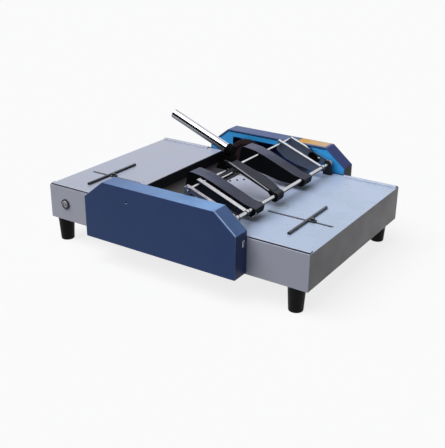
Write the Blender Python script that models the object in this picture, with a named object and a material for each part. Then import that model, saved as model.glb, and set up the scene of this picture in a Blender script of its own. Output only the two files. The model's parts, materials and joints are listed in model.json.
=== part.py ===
"""Counter-top booklet maker: two feed tables, a swinging stapler frame on a cross shaft,
a pair of geared fold rollers in the well between the tables, and two hollow side covers.

X runs with the paper (left to right), Y runs across the machine (near side is -Y), Z is up.
The origin is on the desk under the middle of the machine. Lengths are metres.
The stapler frame is drawn level, as it is when it is pressed down, on an empty at the shaft;
the empty is then turned by the lift angle, so the frame rests raised.
"""
import math

import bmesh
import bpy
from mathutils import Matrix, Vector

MM = 0.001

# Overall sizes
BODY_LENGTH = 650 * MM
TABLE_DEPTH = 430 * MM
TABLE_HEIGHT = 131.4 * MM
SHEET = 2 * MM
FIT = 0.3 * MM
OVERRUN = 5 * MM
EDGE_ROUND = 0.8 * MM

# Places along the paper path, measured from the middle of the machine
STAPLE_LINE_X = -2.5 * MM
BED_OVERHANG = 8.6 * MM
WELL_WIDTH = 133.3 * MM
BED_END_X = 121.7 * MM
SHAFT_X = 156.6 * MM
SHAFT_RISE = 24.7 * MM

# Feet and base
FOOT_TOP_RADIUS = 18.2 * MM
FOOT_TIP_RADIUS = 14.9 * MM
FOOT_TIP_ROUND = 2.5 * MM
LEFT_FOOT_INSET = 25.3 * MM
RIGHT_FOOT_INSET = 32.3 * MM
FOOT_INSET_Y = 18.5 * MM
BASE_SHEET = 2 * MM
OUTLET_END_INSET = 6 * MM
OUTLET_WIDTH = 40 * MM

# Feed tables
LEDGE_WIDTH = 14 * MM
LEDGE_SHEET = 2 * MM
TABLE_SHEET = 2 * MM
SEAM_WIDTH = 2.3 * MM
HEM_WIDTH = 11 * MM
HEM_RISE = 3 * MM
HEM_ROUND = 1.2 * MM
HEM_COVER_GAP = 2.3 * MM
SLOT_WIDTH = 7.6 * MM
RIGHT_SLOT_Y = -75.3 * MM
LEFT_SLOT_Y = -97.5 * MM
RIGHT_SLOT_INNER_INSET = 33.6 * MM
RIGHT_SLOT_OUTER_INSET = 20.5 * MM
LEFT_SLOT_INNER_INSET = 17.2 * MM
LEFT_SLOT_OUTER_INSET = 22.7 * MM

# Paper stops
STOP_BAR_LENGTH = 162 * MM
STOP_BAR_WIDTH = 6 * MM
STOP_BAR_HEIGHT = 5.5 * MM
STOP_BAR_ROUND = 2.6 * MM
RIGHT_STOP_INSET = 75.8 * MM
RIGHT_STOP_MIDDLE_Y = -76.5 * MM
LEFT_STOP_INSET = 75.6 * MM
LEFT_STOP_MIDDLE_Y = -90.3 * MM
STOP_KNOB_OFFSET = 9.5 * MM
STOP_LUG_WIDTH = 12 * MM
STOP_LUG_HEIGHT = 3 * MM
STOP_KEY_LENGTH = 6 * MM
KNOB_RADIUS = 4.6 * MM
KNOB_HEIGHT = 4.5 * MM
KNOB_STEM_RADIUS = 1.5 * MM
KNOB_NUT_RADIUS = 5 * MM
KNOB_NUT_HEIGHT = 2.6 * MM
KNOB_FLUTES = 12
KNOB_FLUTE_DEPTH = 0.5 * MM

# Side frames and bed
FRAME_SHEET = 3 * MM
FRAME_LEDGE_WIDTH = 12 * MM
FRAME_LEDGE_SHEET = 3 * MM
BED_SHEET = 3 * MM
CLINCHER_LENGTH = 22 * MM
CLINCHER_WIDTH = 18 * MM
CLINCHER_DEPTH = 7 * MM
WELL_WALL_SHEET = 2 * MM
CHUTE_DROP = 24.8 * MM
CHUTE_FALL = 3.6 * MM
CHUTE_ROLLER_GAP = 1.1 * MM
CHUTE_SHEET = 1.6 * MM

# Side covers
COVER_DEPTH = 41.2 * MM
COVER_SHEET = 2 * MM
COVER_LEFT_X = 182.2 * MM
COVER_RIGHT_X = 192 * MM
COVER_LEFT_SLOPE = 50.8 * MM
COVER_RIGHT_SLOPE = 49.8 * MM
COVER_TOP_RISE = 56.5 * MM
COVER_SHOULDER_RISE = 15.4 * MM
COVER_BOTTOM_RISE = 2.7 * MM
COVER_CORNER_ROUND = 2.5 * MM
COVER_EDGE_ROUND = 1.2 * MM
PANEL_INSET = 0.7 * MM
PANEL_SHEET = 1.5 * MM
WINDOW_LEFT_X = 116.5 * MM
WINDOW_RIGHT_X = 96 * MM
WINDOW_TOP_RISE = 39.7 * MM
WINDOW_BOTTOM_DROP = 22 * MM
WINDOW_ROUND = 3 * MM

# Shaft and its brackets
SHAFT_RADIUS = 4.5 * MM
SHAFT_END_GAP = 1.5 * MM
BRACKET_WIDTH = 21 * MM
BRACKET_HEAD_RADIUS = 9.5 * MM
BRACKET_FOOT_HEIGHT = 6 * MM
BRACKET_THICKNESS = 8.4 * MM
NEAR_BRACKET_INSET = 6.2 * MM
FAR_BRACKET_INSET = 16.8 * MM

# Stapler frame, drawn level from the shaft's centre towards -X. A setback is a distance from the
# staple line back towards the shaft, and an inset is a distance in from the edge of the table.
LIFT_ANGLE_DEG = 11.2
ARM_WIDTH = 35 * MM
NEAR_ARM_INSET = 88.5 * MM
FAR_ARM_INSET = 134.4 * MM
ARM_SHEET = 1.6 * MM
ARM_NOSE_OVERHANG = 0.5 * MM
ARM_BED_GAP = 3 * MM
ARM_NOSE_TOP = 21 * MM
ARM_NOSE_ROUND = 10 * MM
ARM_CREST_SETBACK = 32.5 * MM
ARM_CREST = 23 * MM
ARM_BREAK_SETBACK = 66.5 * MM
ARM_BREAK = 21.2 * MM
ARM_TOP_ROUND = 70 * MM
ARM_HUB_TOP = 7.4 * MM
ARM_TAIL_REACH = 10 * MM
ARM_TAIL_DROP = 14.1 * MM
ARM_TAIL_TOP_ROUND = 5 * MM
ARM_TAIL_LOW_ROUND = 8 * MM
ARM_HEEL_REACH = 7 * MM
ARM_BELLY_REACH = 46.6 * MM

HEAD_LENGTH = 54 * MM
HEAD_TOP = 13.4 * MM
MAGAZINE_TRAVEL = 4.2 * MM
HEAD_ROUND = 1.5 * MM
MAGAZINE_LENGTH = 98 * MM
MAGAZINE_SHOULDER = 4 * MM
MAGAZINE_NOSE_WIDTH = 16 * MM
MAGAZINE_PROUD = 1.5 * MM
MAGAZINE_NOSE_HEIGHT = 4.5 * MM
MAGAZINE_ROUND = 1.2 * MM

MIDDLE_BAR_Y = -39.5 * MM
MIDDLE_BAR_WIDTH = 25 * MM
MIDDLE_BAR_SETBACK = 42.3 * MM
MIDDLE_BAR_TIP_TOP = 28.1 * MM
MIDDLE_BAR_HUB_TOP = 8.2 * MM
MIDDLE_BAR_THICKNESS = 7.4 * MM
MIDDLE_HUB_RADIUS = 9.6 * MM
MIDDLE_HUB_NECK = 11 * MM
MIDDLE_HUB_DROP = 4 * MM

LEVER_Y = -30.2 * MM
BLOCK_WIDTH = 27 * MM
BLOCK_SETBACK = 6.1 * MM
BLOCK_BED_GAP = 2.4 * MM
BLOCK_SHIN_TOP = 4 * MM
BLOCK_STEP_SETBACK = 15.1 * MM
BLOCK_STEP_TOP = 27 * MM
BLOCK_TOP = 36 * MM
BLOCK_ROUND = 2.5 * MM

LEVER_RADIUS = 10.2 * MM
LEVER_TILT_DEG = 10.5
LEVER_FOOT_SETBACK = 27.6 * MM
LEVER_FOOT_RISE = 44.6 * MM
LEVER_LENGTH = 163 * MM
LEVER_END_ROUND = 2.5 * MM
COLLAR_RADIUS = 13.4 * MM
COLLAR_LENGTH = 17 * MM
COLLAR_FLOOR = 5 * MM
COLLAR_ROUND = 1.5 * MM

LINK_TILT_DEG = 8.5
LINK_EYE_RADIUS = 8 * MM
LINK_TIP_RADIUS = 4.4 * MM
WEB_CORNER_RADIUS = 3 * MM
INNER_WEB_DEPTH = 15 * MM
OUTER_WEB_DEPTH = 20 * MM
LINK_WIDTH = 7 * MM
NEAR_OUTER_LINK_INSET = 17 * MM
NEAR_INNER_LINK_INSET = 54 * MM
FAR_INNER_LINK_INSET = 48 * MM
FAR_OUTER_LINK_INSET = 5.6 * MM
NEAR_OUTER_LINK_SETBACK = 35.1 * MM
INNER_LINK_SETBACK = 39.1 * MM
FAR_OUTER_LINK_SETBACK = 40.5 * MM
MIDDLE_LINK_Y = -55.8 * MM
MIDDLE_LINK_WIDTH = 4.6 * MM
MIDDLE_LINK_TILT_DEG = 13
MIDDLE_LINK_SETBACK = 30.6 * MM
CROSS_ROD_SETBACK = 43.7 * MM
CROSS_ROD_RADIUS = 2.6 * MM
TIE_ROD_SETBACK = 59.7 * MM
TIE_ROD_RISE = 18.2 * MM
TIE_ROD_RADIUS = 1.8 * MM

SPRING_X = 43 * MM
SPRING_COIL_RADIUS = 5.6 * MM
SPRING_WIRE_RADIUS = 1 * MM
SPRING_TURNS = 8
SPRING_POINTS_PER_TURN = 9
SPRING_BRACKET_SHEET = 2 * MM
SPRING_BRACKET_WIDTH = 13.5 * MM
SPRING_BRACKET_TOP_RISE = 67.6 * MM
SPRING_BRACKET_FLOOR_RISE = 52 * MM
SPRING_PIN_RADIUS = 3 * MM
SPRING_PIN_LENGTH = 5 * MM

# Fold rollers and gears
ROLLER_RADIUS = 19 * MM
ROLLER_NIP_GAP = 0.4 * MM
ROLLER_NIP_OFFSET = 21.4 * MM
ROLLER_DROP = 43.4 * MM
ROLLER_END_INSET = 31 * MM
ROLLER_FLOOR_GAP = 13 * MM
ROLLER_CHAMFER = 1 * MM
JOURNAL_RADIUS = 7 * MM
BEARING_PLATE_SHEET = 4 * MM
BEARING_PLATE_GAP = 3 * MM
BEARING_PLATE_TOP_DROP = 28 * MM
BEARING_PLATE_RIGHT_X = 40 * MM
BEARING_BOSS_RADIUS = 13 * MM
TIMING_TEETH = 32
TIMING_GEAR_WIDTH = 10 * MM
DRIVE_TEETH = 48
ROLLER_PINION_TEETH = 16
MOTOR_PINION_TEETH = 12
DRIVE_GEAR_WIDTH = 12 * MM
DRIVE_GEAR_OFFSET = 31.4 * MM
DRIVE_GEAR_DROP = 4.1 * MM
DRIVE_RIM_SHARE = 0.8
DRIVE_HUB_RADIUS = 13 * MM
DRIVE_WEB = 5 * MM
AXLE_RADIUS = 5 * MM
AXLE_EAR_RADIUS = 13 * MM
GEAR_PLATE_GAP = 3 * MM
MOTOR_DIRECTION_DEG = 235
MOTOR_RADIUS = 20.5 * MM
MOTOR_LENGTH = 104 * MM
MOTOR_NECK_RADIUS = 12 * MM
MOTOR_NECK_LENGTH = 6 * MM
MOTOR_SHAFT_RADIUS = 4 * MM
MOTOR_FLOOR_GAP = 1.5 * MM

# Gear teeth: shares of the module and of the tooth pitch
ADDENDUM_SHARE = 0.85
DEDENDUM_SHARE = 1.15
TOOTH_ROOT_SHARE = 0.29
TOOTH_TIP_SHARE = 0.115

# Round rocker switch and mains inlet on the left table
SWITCH_INSET = 45.1 * MM
SWITCH_DROP = 38.1 * MM
SWITCH_FLANGE_RADIUS = 11.4 * MM
SWITCH_FLANGE_THICKNESS = 2.6 * MM
SWITCH_BODY_RADIUS = 9.6 * MM
SWITCH_BODY_LENGTH = 22 * MM
SWITCH_WELL_RADIUS = 8.6 * MM
SWITCH_WELL_DEPTH = 7 * MM
ROCKER_RADIUS = 7.8 * MM
ROCKER_THICKNESS = 3.6 * MM
ROCKER_TILT_DEG = 7
ROCKER_PROUD = 0.6 * MM
INLET_FLANGE_WIDTH = 31 * MM
INLET_FLANGE_HEIGHT = 25 * MM
INLET_FLANGE_THICKNESS = 2.4 * MM
INLET_BODY_WIDTH = 27.2 * MM
INLET_BODY_HEIGHT = 20 * MM
INLET_BODY_LENGTH = 22 * MM
INLET_MOUTH_WIDTH = 24 * MM
INLET_MOUTH_HEIGHT = 16 * MM
INLET_MOUTH_DEPTH = 16 * MM
INLET_PIN_WIDTH = 2 * MM
INLET_PIN_HEIGHT = 4 * MM
INLET_PIN_LENGTH = 12 * MM
INLET_PIN_PITCH = 7 * MM
INLET_EARTH_RISE = 2.5 * MM
INLET_LIVE_DROP = 2 * MM

# Counts of sides that draw the round shapes
ROUND_SIDES = 32
FINE_SIDES = 48
SMALL_SIDES = 16
ARC_STEP_DEG = 15
SMOOTH_ANGLE_DEG = 35

# Places that follow from the sizes above: the tables and the covers
HALF_LENGTH = BODY_LENGTH / 2
HALF_DEPTH = TABLE_DEPTH / 2
SHAFT_Z = TABLE_HEIGHT + SHAFT_RISE
BED_START_X = STAPLE_LINE_X - BED_OVERHANG
WELL_START_X = BED_START_X - WELL_WIDTH
FRAME_INNER_Y = HALF_DEPTH - FRAME_SHEET
BED_LEVEL = -SHAFT_RISE
SWITCH_X = SWITCH_INSET - HALF_LENGTH
NEAR_BRACKET_Y = NEAR_BRACKET_INSET - HALF_DEPTH
FAR_BRACKET_Y = HALF_DEPTH - FAR_BRACKET_INSET

# The stapler frame's pieces, as distances from the shaft and places across the machine
FRAME_REACH = SHAFT_X - STAPLE_LINE_X
ARM_REACH = FRAME_REACH + ARM_NOSE_OVERHANG
ARM_CREST_REACH = FRAME_REACH - ARM_CREST_SETBACK
ARM_BREAK_REACH = FRAME_REACH - ARM_BREAK_SETBACK
MIDDLE_BAR_REACH = FRAME_REACH - MIDDLE_BAR_SETBACK
MIDDLE_LINK_REACH = FRAME_REACH - MIDDLE_LINK_SETBACK
BLOCK_REACH = FRAME_REACH - BLOCK_SETBACK
BLOCK_STEP_REACH = FRAME_REACH - BLOCK_STEP_SETBACK
LEVER_FOOT_REACH = FRAME_REACH - LEVER_FOOT_SETBACK
NEAR_OUTER_LINK_REACH = FRAME_REACH - NEAR_OUTER_LINK_SETBACK
INNER_LINK_REACH = FRAME_REACH - INNER_LINK_SETBACK
FAR_OUTER_LINK_REACH = FRAME_REACH - FAR_OUTER_LINK_SETBACK
CROSS_ROD_REACH = FRAME_REACH - CROSS_ROD_SETBACK
TIE_ROD_REACH = FRAME_REACH - TIE_ROD_SETBACK
NEAR_ARM_Y = NEAR_ARM_INSET - HALF_DEPTH
FAR_ARM_Y = HALF_DEPTH - FAR_ARM_INSET
NEAR_OUTER_LINK_Y = NEAR_OUTER_LINK_INSET - HALF_DEPTH
NEAR_INNER_LINK_Y = NEAR_INNER_LINK_INSET - HALF_DEPTH
FAR_INNER_LINK_Y = HALF_DEPTH - FAR_INNER_LINK_INSET
FAR_OUTER_LINK_Y = HALF_DEPTH - FAR_OUTER_LINK_INSET
MAGAZINE_TOP = BED_LEVEL + MAGAZINE_PROUD + MAGAZINE_NOSE_HEIGHT + MAGAZINE_SHOULDER
HEAD_BOTTOM = MAGAZINE_TOP + MAGAZINE_TRAVEL + FIT

# The fold unit's axes, and the case that is as deep as the rollers and the motor need
NIP_X = BED_START_X - ROLLER_NIP_OFFSET
ROLLER_PITCH = 2 * ROLLER_RADIUS + ROLLER_NIP_GAP
ROLLER_LENGTH = TABLE_DEPTH - 2 * ROLLER_END_INSET
LEFT_ROLLER_X = NIP_X - ROLLER_PITCH / 2
RIGHT_ROLLER_X = NIP_X + ROLLER_PITCH / 2
DRIVE_GEAR_X = NIP_X - DRIVE_GEAR_OFFSET
DRIVE_SPAN = Vector((RIGHT_ROLLER_X - DRIVE_GEAR_X, DRIVE_GEAR_DROP - ROLLER_DROP))
DRIVE_MODULE = 2 * DRIVE_SPAN.length / (DRIVE_TEETH + ROLLER_PINION_TEETH)
MOTOR_DIRECTION = math.radians(MOTOR_DIRECTION_DEG)
MOTOR_SPAN = DRIVE_MODULE * (DRIVE_TEETH + MOTOR_PINION_TEETH) / 2
MOTOR_X = DRIVE_GEAR_X + MOTOR_SPAN * math.cos(MOTOR_DIRECTION)
MOTOR_DROP = DRIVE_GEAR_DROP - MOTOR_SPAN * math.sin(MOTOR_DIRECTION)
ROLLER_FLOOR_DROP = ROLLER_DROP + ROLLER_RADIUS + ROLLER_FLOOR_GAP
MOTOR_FLOOR_DROP = MOTOR_DROP + MOTOR_RADIUS + MOTOR_FLOOR_GAP
CASE_DEPTH = BASE_SHEET + max(ROLLER_FLOOR_DROP, MOTOR_FLOOR_DROP)
FOOT_HEIGHT = TABLE_HEIGHT - CASE_DEPTH
BASE_TOP = FOOT_HEIGHT + BASE_SHEET
ROLLER_Z = TABLE_HEIGHT - ROLLER_DROP
DRIVE_GEAR_Z = TABLE_HEIGHT - DRIVE_GEAR_DROP
MOTOR_Z = TABLE_HEIGHT - MOTOR_DROP
PLATE_INNER_Y = ROLLER_LENGTH / 2 + BEARING_PLATE_GAP
PLATE_OUTER_Y = PLATE_INNER_Y + BEARING_PLATE_SHEET
GEAR_START_Y = PLATE_OUTER_Y + GEAR_PLATE_GAP
LIFT_ANGLE = math.radians(LIFT_ANGLE_DEG)

# The stops, measured in from the ends of the tables
RIGHT_SLOT_START = BED_END_X + RIGHT_SLOT_INNER_INSET
RIGHT_SLOT_END = HALF_LENGTH - RIGHT_SLOT_OUTER_INSET
LEFT_SLOT_START = LEFT_SLOT_INNER_INSET - WELL_START_X
LEFT_SLOT_END = HALF_LENGTH - LEFT_SLOT_OUTER_INSET
RIGHT_STOP_X = HALF_LENGTH - RIGHT_STOP_INSET
LEFT_STOP_X = HALF_LENGTH - LEFT_STOP_INSET


def clear_scene():
    """Start from an empty scene."""
    for leftover in list(bpy.data.objects):
        bpy.data.objects.remove(leftover, do_unlink=True)


def material(name, colour, roughness, metallic=0.0):
    """Return the named Principled material, made on first use."""
    made = bpy.data.materials.get(name)
    if made is None:
        made = bpy.data.materials.new(name)
        made.use_nodes = True
        shader = made.node_tree.nodes["Principled BSDF"]
        shader.inputs["Base Color"].default_value = (*colour, 1.0)
        shader.inputs["Roughness"].default_value = roughness
        shader.inputs["Metallic"].default_value = metallic
    return made


def finishes():
    """The finishes of the machine, by name."""
    return {
        "table_grey": material("table_grey", (0.50, 0.55, 0.66), 0.45),
        "cover_blue": material("cover_blue", (0.045, 0.085, 0.20), 0.40),
        "panel_blue": material("panel_blue", (0.03, 0.23, 0.60), 0.45),
        "black_steel": material("black_steel", (0.012, 0.012, 0.014), 0.50),
        "arm_grey": material("arm_grey", (0.055, 0.058, 0.068), 0.42),
        "chrome": material("chrome", (0.80, 0.80, 0.82), 0.12, 1.0),
        "bed_steel": material("bed_steel", (0.26, 0.28, 0.31), 0.30, 0.8),
        "zinc_steel": material("zinc_steel", (0.45, 0.45, 0.45), 0.40, 1.0),
        "roller_rubber": material("roller_rubber", (0.020, 0.020, 0.020), 0.80),
        "foot_rubber": material("foot_rubber", (0.010, 0.010, 0.011), 0.60),
        "gear_brown": material("gear_brown", (0.055, 0.035, 0.028), 0.55),
        "chute_bronze": material("chute_bronze", (0.060, 0.055, 0.055), 0.45, 0.3),
        "stop_grey": material("stop_grey", (0.090, 0.085, 0.100), 0.45),
        "black_plastic": material("black_plastic", (0.015, 0.015, 0.016), 0.45),
        "rocker_grey": material("rocker_grey", (0.42, 0.43, 0.45), 0.35),
        "motor_grey": material("motor_grey", (0.20, 0.20, 0.21), 0.45, 0.6),
    }


def add_object(name, mesh, finish=None, parent=None, at=(0, 0, 0), turn_y=0.0):
    """Link a mesh as an object, round pieces shaded smooth, placed under its parent."""
    mesh.shade_smooth()
    mesh.set_sharp_from_angle(angle=math.radians(SMOOTH_ANGLE_DEG))
    made = bpy.data.objects.new(name, mesh)
    bpy.context.scene.collection.objects.link(made)
    made.parent = parent
    made.location = at
    made.rotation_euler = (0, turn_y, 0)
    if finish is not None:
        mesh.materials.append(FINISHES[finish])
    return made


def close_mesh(name, built):
    """Turn a finished bmesh into a mesh with its faces pointing out."""
    bmesh.ops.recalc_face_normals(built, faces=built.faces)
    mesh = bpy.data.meshes.new(name)
    built.to_mesh(mesh)
    built.free()
    return mesh


def prism_mesh(name, outline, start, end, axis="Y"):
    """Extrude an outline along an axis. It lies in XZ for Y, in YZ for X, and in XY for Z."""
    lay = {
        "X": lambda a, b, along: (along, a, b),
        "Y": lambda a, b, along: (a, along, b),
        "Z": lambda a, b, along: (a, b, along),
    }[axis]
    built = bmesh.new()
    corners = [built.verts.new(lay(a, b, start)) for a, b in outline]
    face = built.faces.new(corners)
    grown = bmesh.ops.extrude_face_region(built, geom=[face])["geom"]
    moved = [item for item in grown if isinstance(item, bmesh.types.BMVert)]
    bmesh.ops.translate(built, vec=Vector(lay(0, 0, end - start)), verts=moved)
    return close_mesh(name, built)


def turned_mesh(name, profile, axis="Z", sides=ROUND_SIDES):
    """Turn a profile of (radius, height) points, which starts and ends on the axis."""
    built = bmesh.new()
    points = [built.verts.new((radius, 0, height)) for radius, height in profile]
    edges = [built.edges.new(pair) for pair in zip(points, points[1:])]
    bmesh.ops.spin(built, geom=points + edges, cent=(0, 0, 0), axis=(0, 0, 1),
                   angle=math.tau, steps=sides, use_merge=True, use_duplicate=False)
    bmesh.ops.remove_doubles(built, verts=built.verts, dist=FIT / 100)
    if axis == "Y":
        bmesh.ops.rotate(built, matrix=Matrix.Rotation(-math.pi / 2, 3, "X"), verts=built.verts)
    if axis == "X":
        bmesh.ops.rotate(built, matrix=Matrix.Rotation(math.pi / 2, 3, "Y"), verts=built.verts)
    return close_mesh(name, built)


def rectangle(left, right, low, high):
    """The four corners of a rectangle."""
    return [(left, low), (right, low), (right, high), (left, high)]


def circle(centre, radius, sides=ROUND_SIDES):
    """Points round a circle in the XZ plane."""
    angles = [math.tau * step / sides for step in range(sides)]
    return [(centre[0] + radius * math.cos(a), centre[1] + radius * math.sin(a)) for a in angles]


def arc(centre, radius, start, end):
    """Points along an arc from one angle to another, in steps of about ARC_STEP_DEG."""
    steps = max(2, math.ceil(abs(end - start) / math.radians(ARC_STEP_DEG)))
    angles = [start + (end - start) * step / steps for step in range(steps + 1)]
    return [(centre[0] + radius * math.cos(a), centre[1] + radius * math.sin(a)) for a in angles]


def rounded(corners):
    """Turn (x, z, radius) corners into an outline whose corners are rounded by arcs."""
    outline = []
    count = len(corners)
    for index, (x, z, radius) in enumerate(corners):
        here = Vector((x, z))
        if radius <= 0:
            outline.append((x, z))
            continue
        back = (Vector(corners[index - 1][:2]) - here).normalized()
        onward = (Vector(corners[(index + 1) % count][:2]) - here).normalized()
        half = back.angle(onward) / 2
        centre = here + (back + onward).normalized() * radius / math.sin(half)
        reach = radius / math.tan(half)
        first = here + back * reach - centre
        last = here + onward * reach - centre
        start = math.atan2(first.y, first.x)
        sweep = math.atan2(last.y, last.x) - start
        sweep = (sweep + math.pi) % math.tau - math.pi
        outline.extend(arc(centre, radius, start, start + sweep))
    return outline


def link_outline(start, end, start_radius, end_radius):
    """The outline of a tapered link: two circles and the straight lines that touch both."""
    along = Vector(end) - Vector(start)
    heading = math.atan2(along.y, along.x)
    spread = math.acos((start_radius - end_radius) / along.length)
    back = arc(start, start_radius, heading + spread, heading - spread + math.tau)
    front = arc(end, end_radius, heading - spread, heading + spread)
    return back + front


def belt_outline(circles):
    """The outline of a belt laid round circles, each a centre and a radius, anticlockwise."""
    normals = []
    for (start, near), (end, far) in zip(circles, circles[1:] + circles[:1]):
        along = Vector(end) - Vector(start)
        heading = math.atan2(along.y, along.x)
        normals.append(heading - math.acos((near - far) / along.length))
    outline = []
    for index, (centre, radius) in enumerate(circles):
        first = normals[index - 1]
        outline += arc(centre, radius, first, first + (normals[index] - first) % math.tau)
    return outline


def box(name, x, y, z, finish=None, **place):
    """A box between pairs of X, Y and Z."""
    mesh = prism_mesh(name, rectangle(x[0], x[1], z[0], z[1]), y[0], y[1])
    return add_object(name, mesh, finish, **place)


def plate(name, outline, y, finish=None, **place):
    """A plate: an outline in XZ, between two values of Y."""
    return add_object(name, prism_mesh(name, outline, y[0], y[1]), finish, **place)


def rod(name, centre, radius, y, sides=ROUND_SIDES, finish=None, **place):
    """A round rod along Y."""
    return plate(name, circle(centre, radius, sides), y, finish, **place)


def combine(target, helper, operation):
    """Join or cut with a helper, which stays in the file as a hidden wire outline."""
    helper.hide_render = True
    helper.display_type = "WIRE"
    helper.hide_set(True)
    boolean = target.modifiers.new(helper.name, "BOOLEAN")
    boolean.operation = operation
    boolean.solver = "EXACT"
    boolean.object = helper


def cut(target, *helpers):
    """Cut each helper out of the target."""
    for helper in helpers:
        combine(target, helper, "DIFFERENCE")


def join(target, *helpers):
    """Add each helper to the target as one solid."""
    for helper in helpers:
        combine(target, helper, "UNION")


def soften(target, width, segments=2):
    """Round the sharp edges that are in the mesh itself."""
    bevel = target.modifiers.new("edge_round", "BEVEL")
    bevel.width = width
    bevel.segments = segments
    bevel.limit_method = "ANGLE"
    bevel.angle_limit = math.radians(SMOOTH_ANGLE_DEG)


def drawn_level(x, z):
    """Give a point of the raised frame in the frame's own level drawing."""
    right = x - SHAFT_X
    up = z - SHAFT_Z
    cosine = math.cos(LIFT_ANGLE)
    sine = math.sin(LIFT_ANGLE)
    return (right * cosine - up * sine, right * sine + up * cosine)


def on_link(reach, tilt_deg=LINK_TILT_DEG):
    """A point on a link's centre line, at a distance from the shaft."""
    tilt = math.radians(tilt_deg)
    return (-reach * math.cos(tilt), reach * math.sin(tilt))


def build_feet():
    """Four tapered rubber feet under the base plate's corners."""
    height = FOOT_HEIGHT - FIT
    profile = [
        (0, 0),
        (FOOT_TIP_RADIUS - FOOT_TIP_ROUND, 0),
        (FOOT_TIP_RADIUS, FOOT_TIP_ROUND),
        (FOOT_TOP_RADIUS, height),
        (0, height),
    ]
    mesh = turned_mesh("foot", profile)
    for side, x in (("left", LEFT_FOOT_INSET - HALF_LENGTH), ("right", HALF_LENGTH - RIGHT_FOOT_INSET)):
        for row, y in (("near", FOOT_INSET_Y - HALF_DEPTH), ("far", HALF_DEPTH - FOOT_INSET_Y)):
            name = "foot_" + row + "_" + side
            foot = add_object(name, mesh if side + row == "leftnear" else mesh.copy(), at=(x, y, 0))
            foot.data.materials.append(FINISHES["foot_rubber"])


def build_base():
    """The bottom sheet, with the outlet that folded booklets drop through."""
    inner_x = HALF_LENGTH - SHEET - FIT
    inner_y = HALF_DEPTH - FRAME_SHEET - FIT
    base = box("base_plate", (-inner_x, inner_x), (-inner_y, inner_y), (FOOT_HEIGHT, BASE_TOP),
               "black_steel")
    outlet = box("outlet_cut", (NIP_X - OUTLET_WIDTH / 2, NIP_X + OUTLET_WIDTH / 2),
                 (OUTLET_END_INSET - ROLLER_LENGTH / 2, ROLLER_LENGTH / 2 - OUTLET_END_INSET),
                 (FOOT_HEIGHT - OVERRUN, BASE_TOP + OVERRUN))
    cut(base, outlet)


def build_table_box(name, inner_end_x, outer_end_x):
    """Near, end and far walls of a table, folded from sheet, with a ledge under the top."""
    side = math.copysign(1, outer_end_x)
    ledge_top = TABLE_HEIGHT - TABLE_SHEET - FIT
    ledge_low = ledge_top - LEDGE_SHEET
    wall_y = HALF_DEPTH - SHEET
    open_end = inner_end_x - side * OVERRUN
    walls = box(name, sorted((inner_end_x, outer_end_x)), (-HALF_DEPTH, HALF_DEPTH),
                (FOOT_HEIGHT, TABLE_HEIGHT), "table_grey")
    inside_x = sorted((open_end, outer_end_x - side * SHEET))
    inside = box(name + "_inside_cut", inside_x, (-wall_y, wall_y),
                 (FOOT_HEIGHT - OVERRUN, ledge_low))
    opening_x = sorted((open_end, outer_end_x - side * (SHEET + LEDGE_WIDTH)))
    opening = box(name + "_opening_cut", opening_x, (LEDGE_WIDTH - wall_y, wall_y - LEDGE_WIDTH),
                  (ledge_low - OVERRUN, ledge_top + OVERRUN))
    above_x = sorted((open_end, outer_end_x + side * OVERRUN))
    above = box(name + "_above_cut", above_x, (-wall_y, wall_y), (ledge_top, TABLE_HEIGHT + OVERRUN))
    cut(walls, inside, opening, above)
    return walls


def build_table_top(name, inner_end_x, outer_end_x, cover_end_x, slot, slot_y):
    """The table's top sheet, with a raised hem on each long edge and the stop's slot."""
    side = math.copysign(1, outer_end_x)
    low = TABLE_HEIGHT - TABLE_SHEET
    edge_y = HALF_DEPTH - SHEET - SEAM_WIDTH
    top = box(name, sorted((inner_end_x, outer_end_x)), (-edge_y, edge_y), (low, TABLE_HEIGHT),
              "table_grey")
    hem_x = sorted((cover_end_x + side * HEM_COVER_GAP, outer_end_x - side * SHEET))
    for row, near_y in (("near", -edge_y), ("far", edge_y - HEM_WIDTH)):
        outline = rounded([
            (near_y, low + TABLE_SHEET / 2, 0),
            (near_y + HEM_WIDTH, low + TABLE_SHEET / 2, 0),
            (near_y + HEM_WIDTH, TABLE_HEIGHT + HEM_RISE, HEM_ROUND),
            (near_y, TABLE_HEIGHT + HEM_RISE, HEM_ROUND),
        ])
        mesh = prism_mesh(name + "_hem", outline, hem_x[0], hem_x[1], "X")
        join(top, add_object(name + "_" + row + "_hem", mesh))
    radius = SLOT_WIDTH / 2
    start = (slot[0] + radius, slot_y)
    end = (slot[1] - radius, slot_y)
    slot_mesh = prism_mesh(name + "_slot", link_outline(start, end, radius, radius),
                           low - OVERRUN, TABLE_HEIGHT + OVERRUN, "Z")
    cut(top, add_object(name + "_slot_cut", slot_mesh))
    return top


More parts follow.
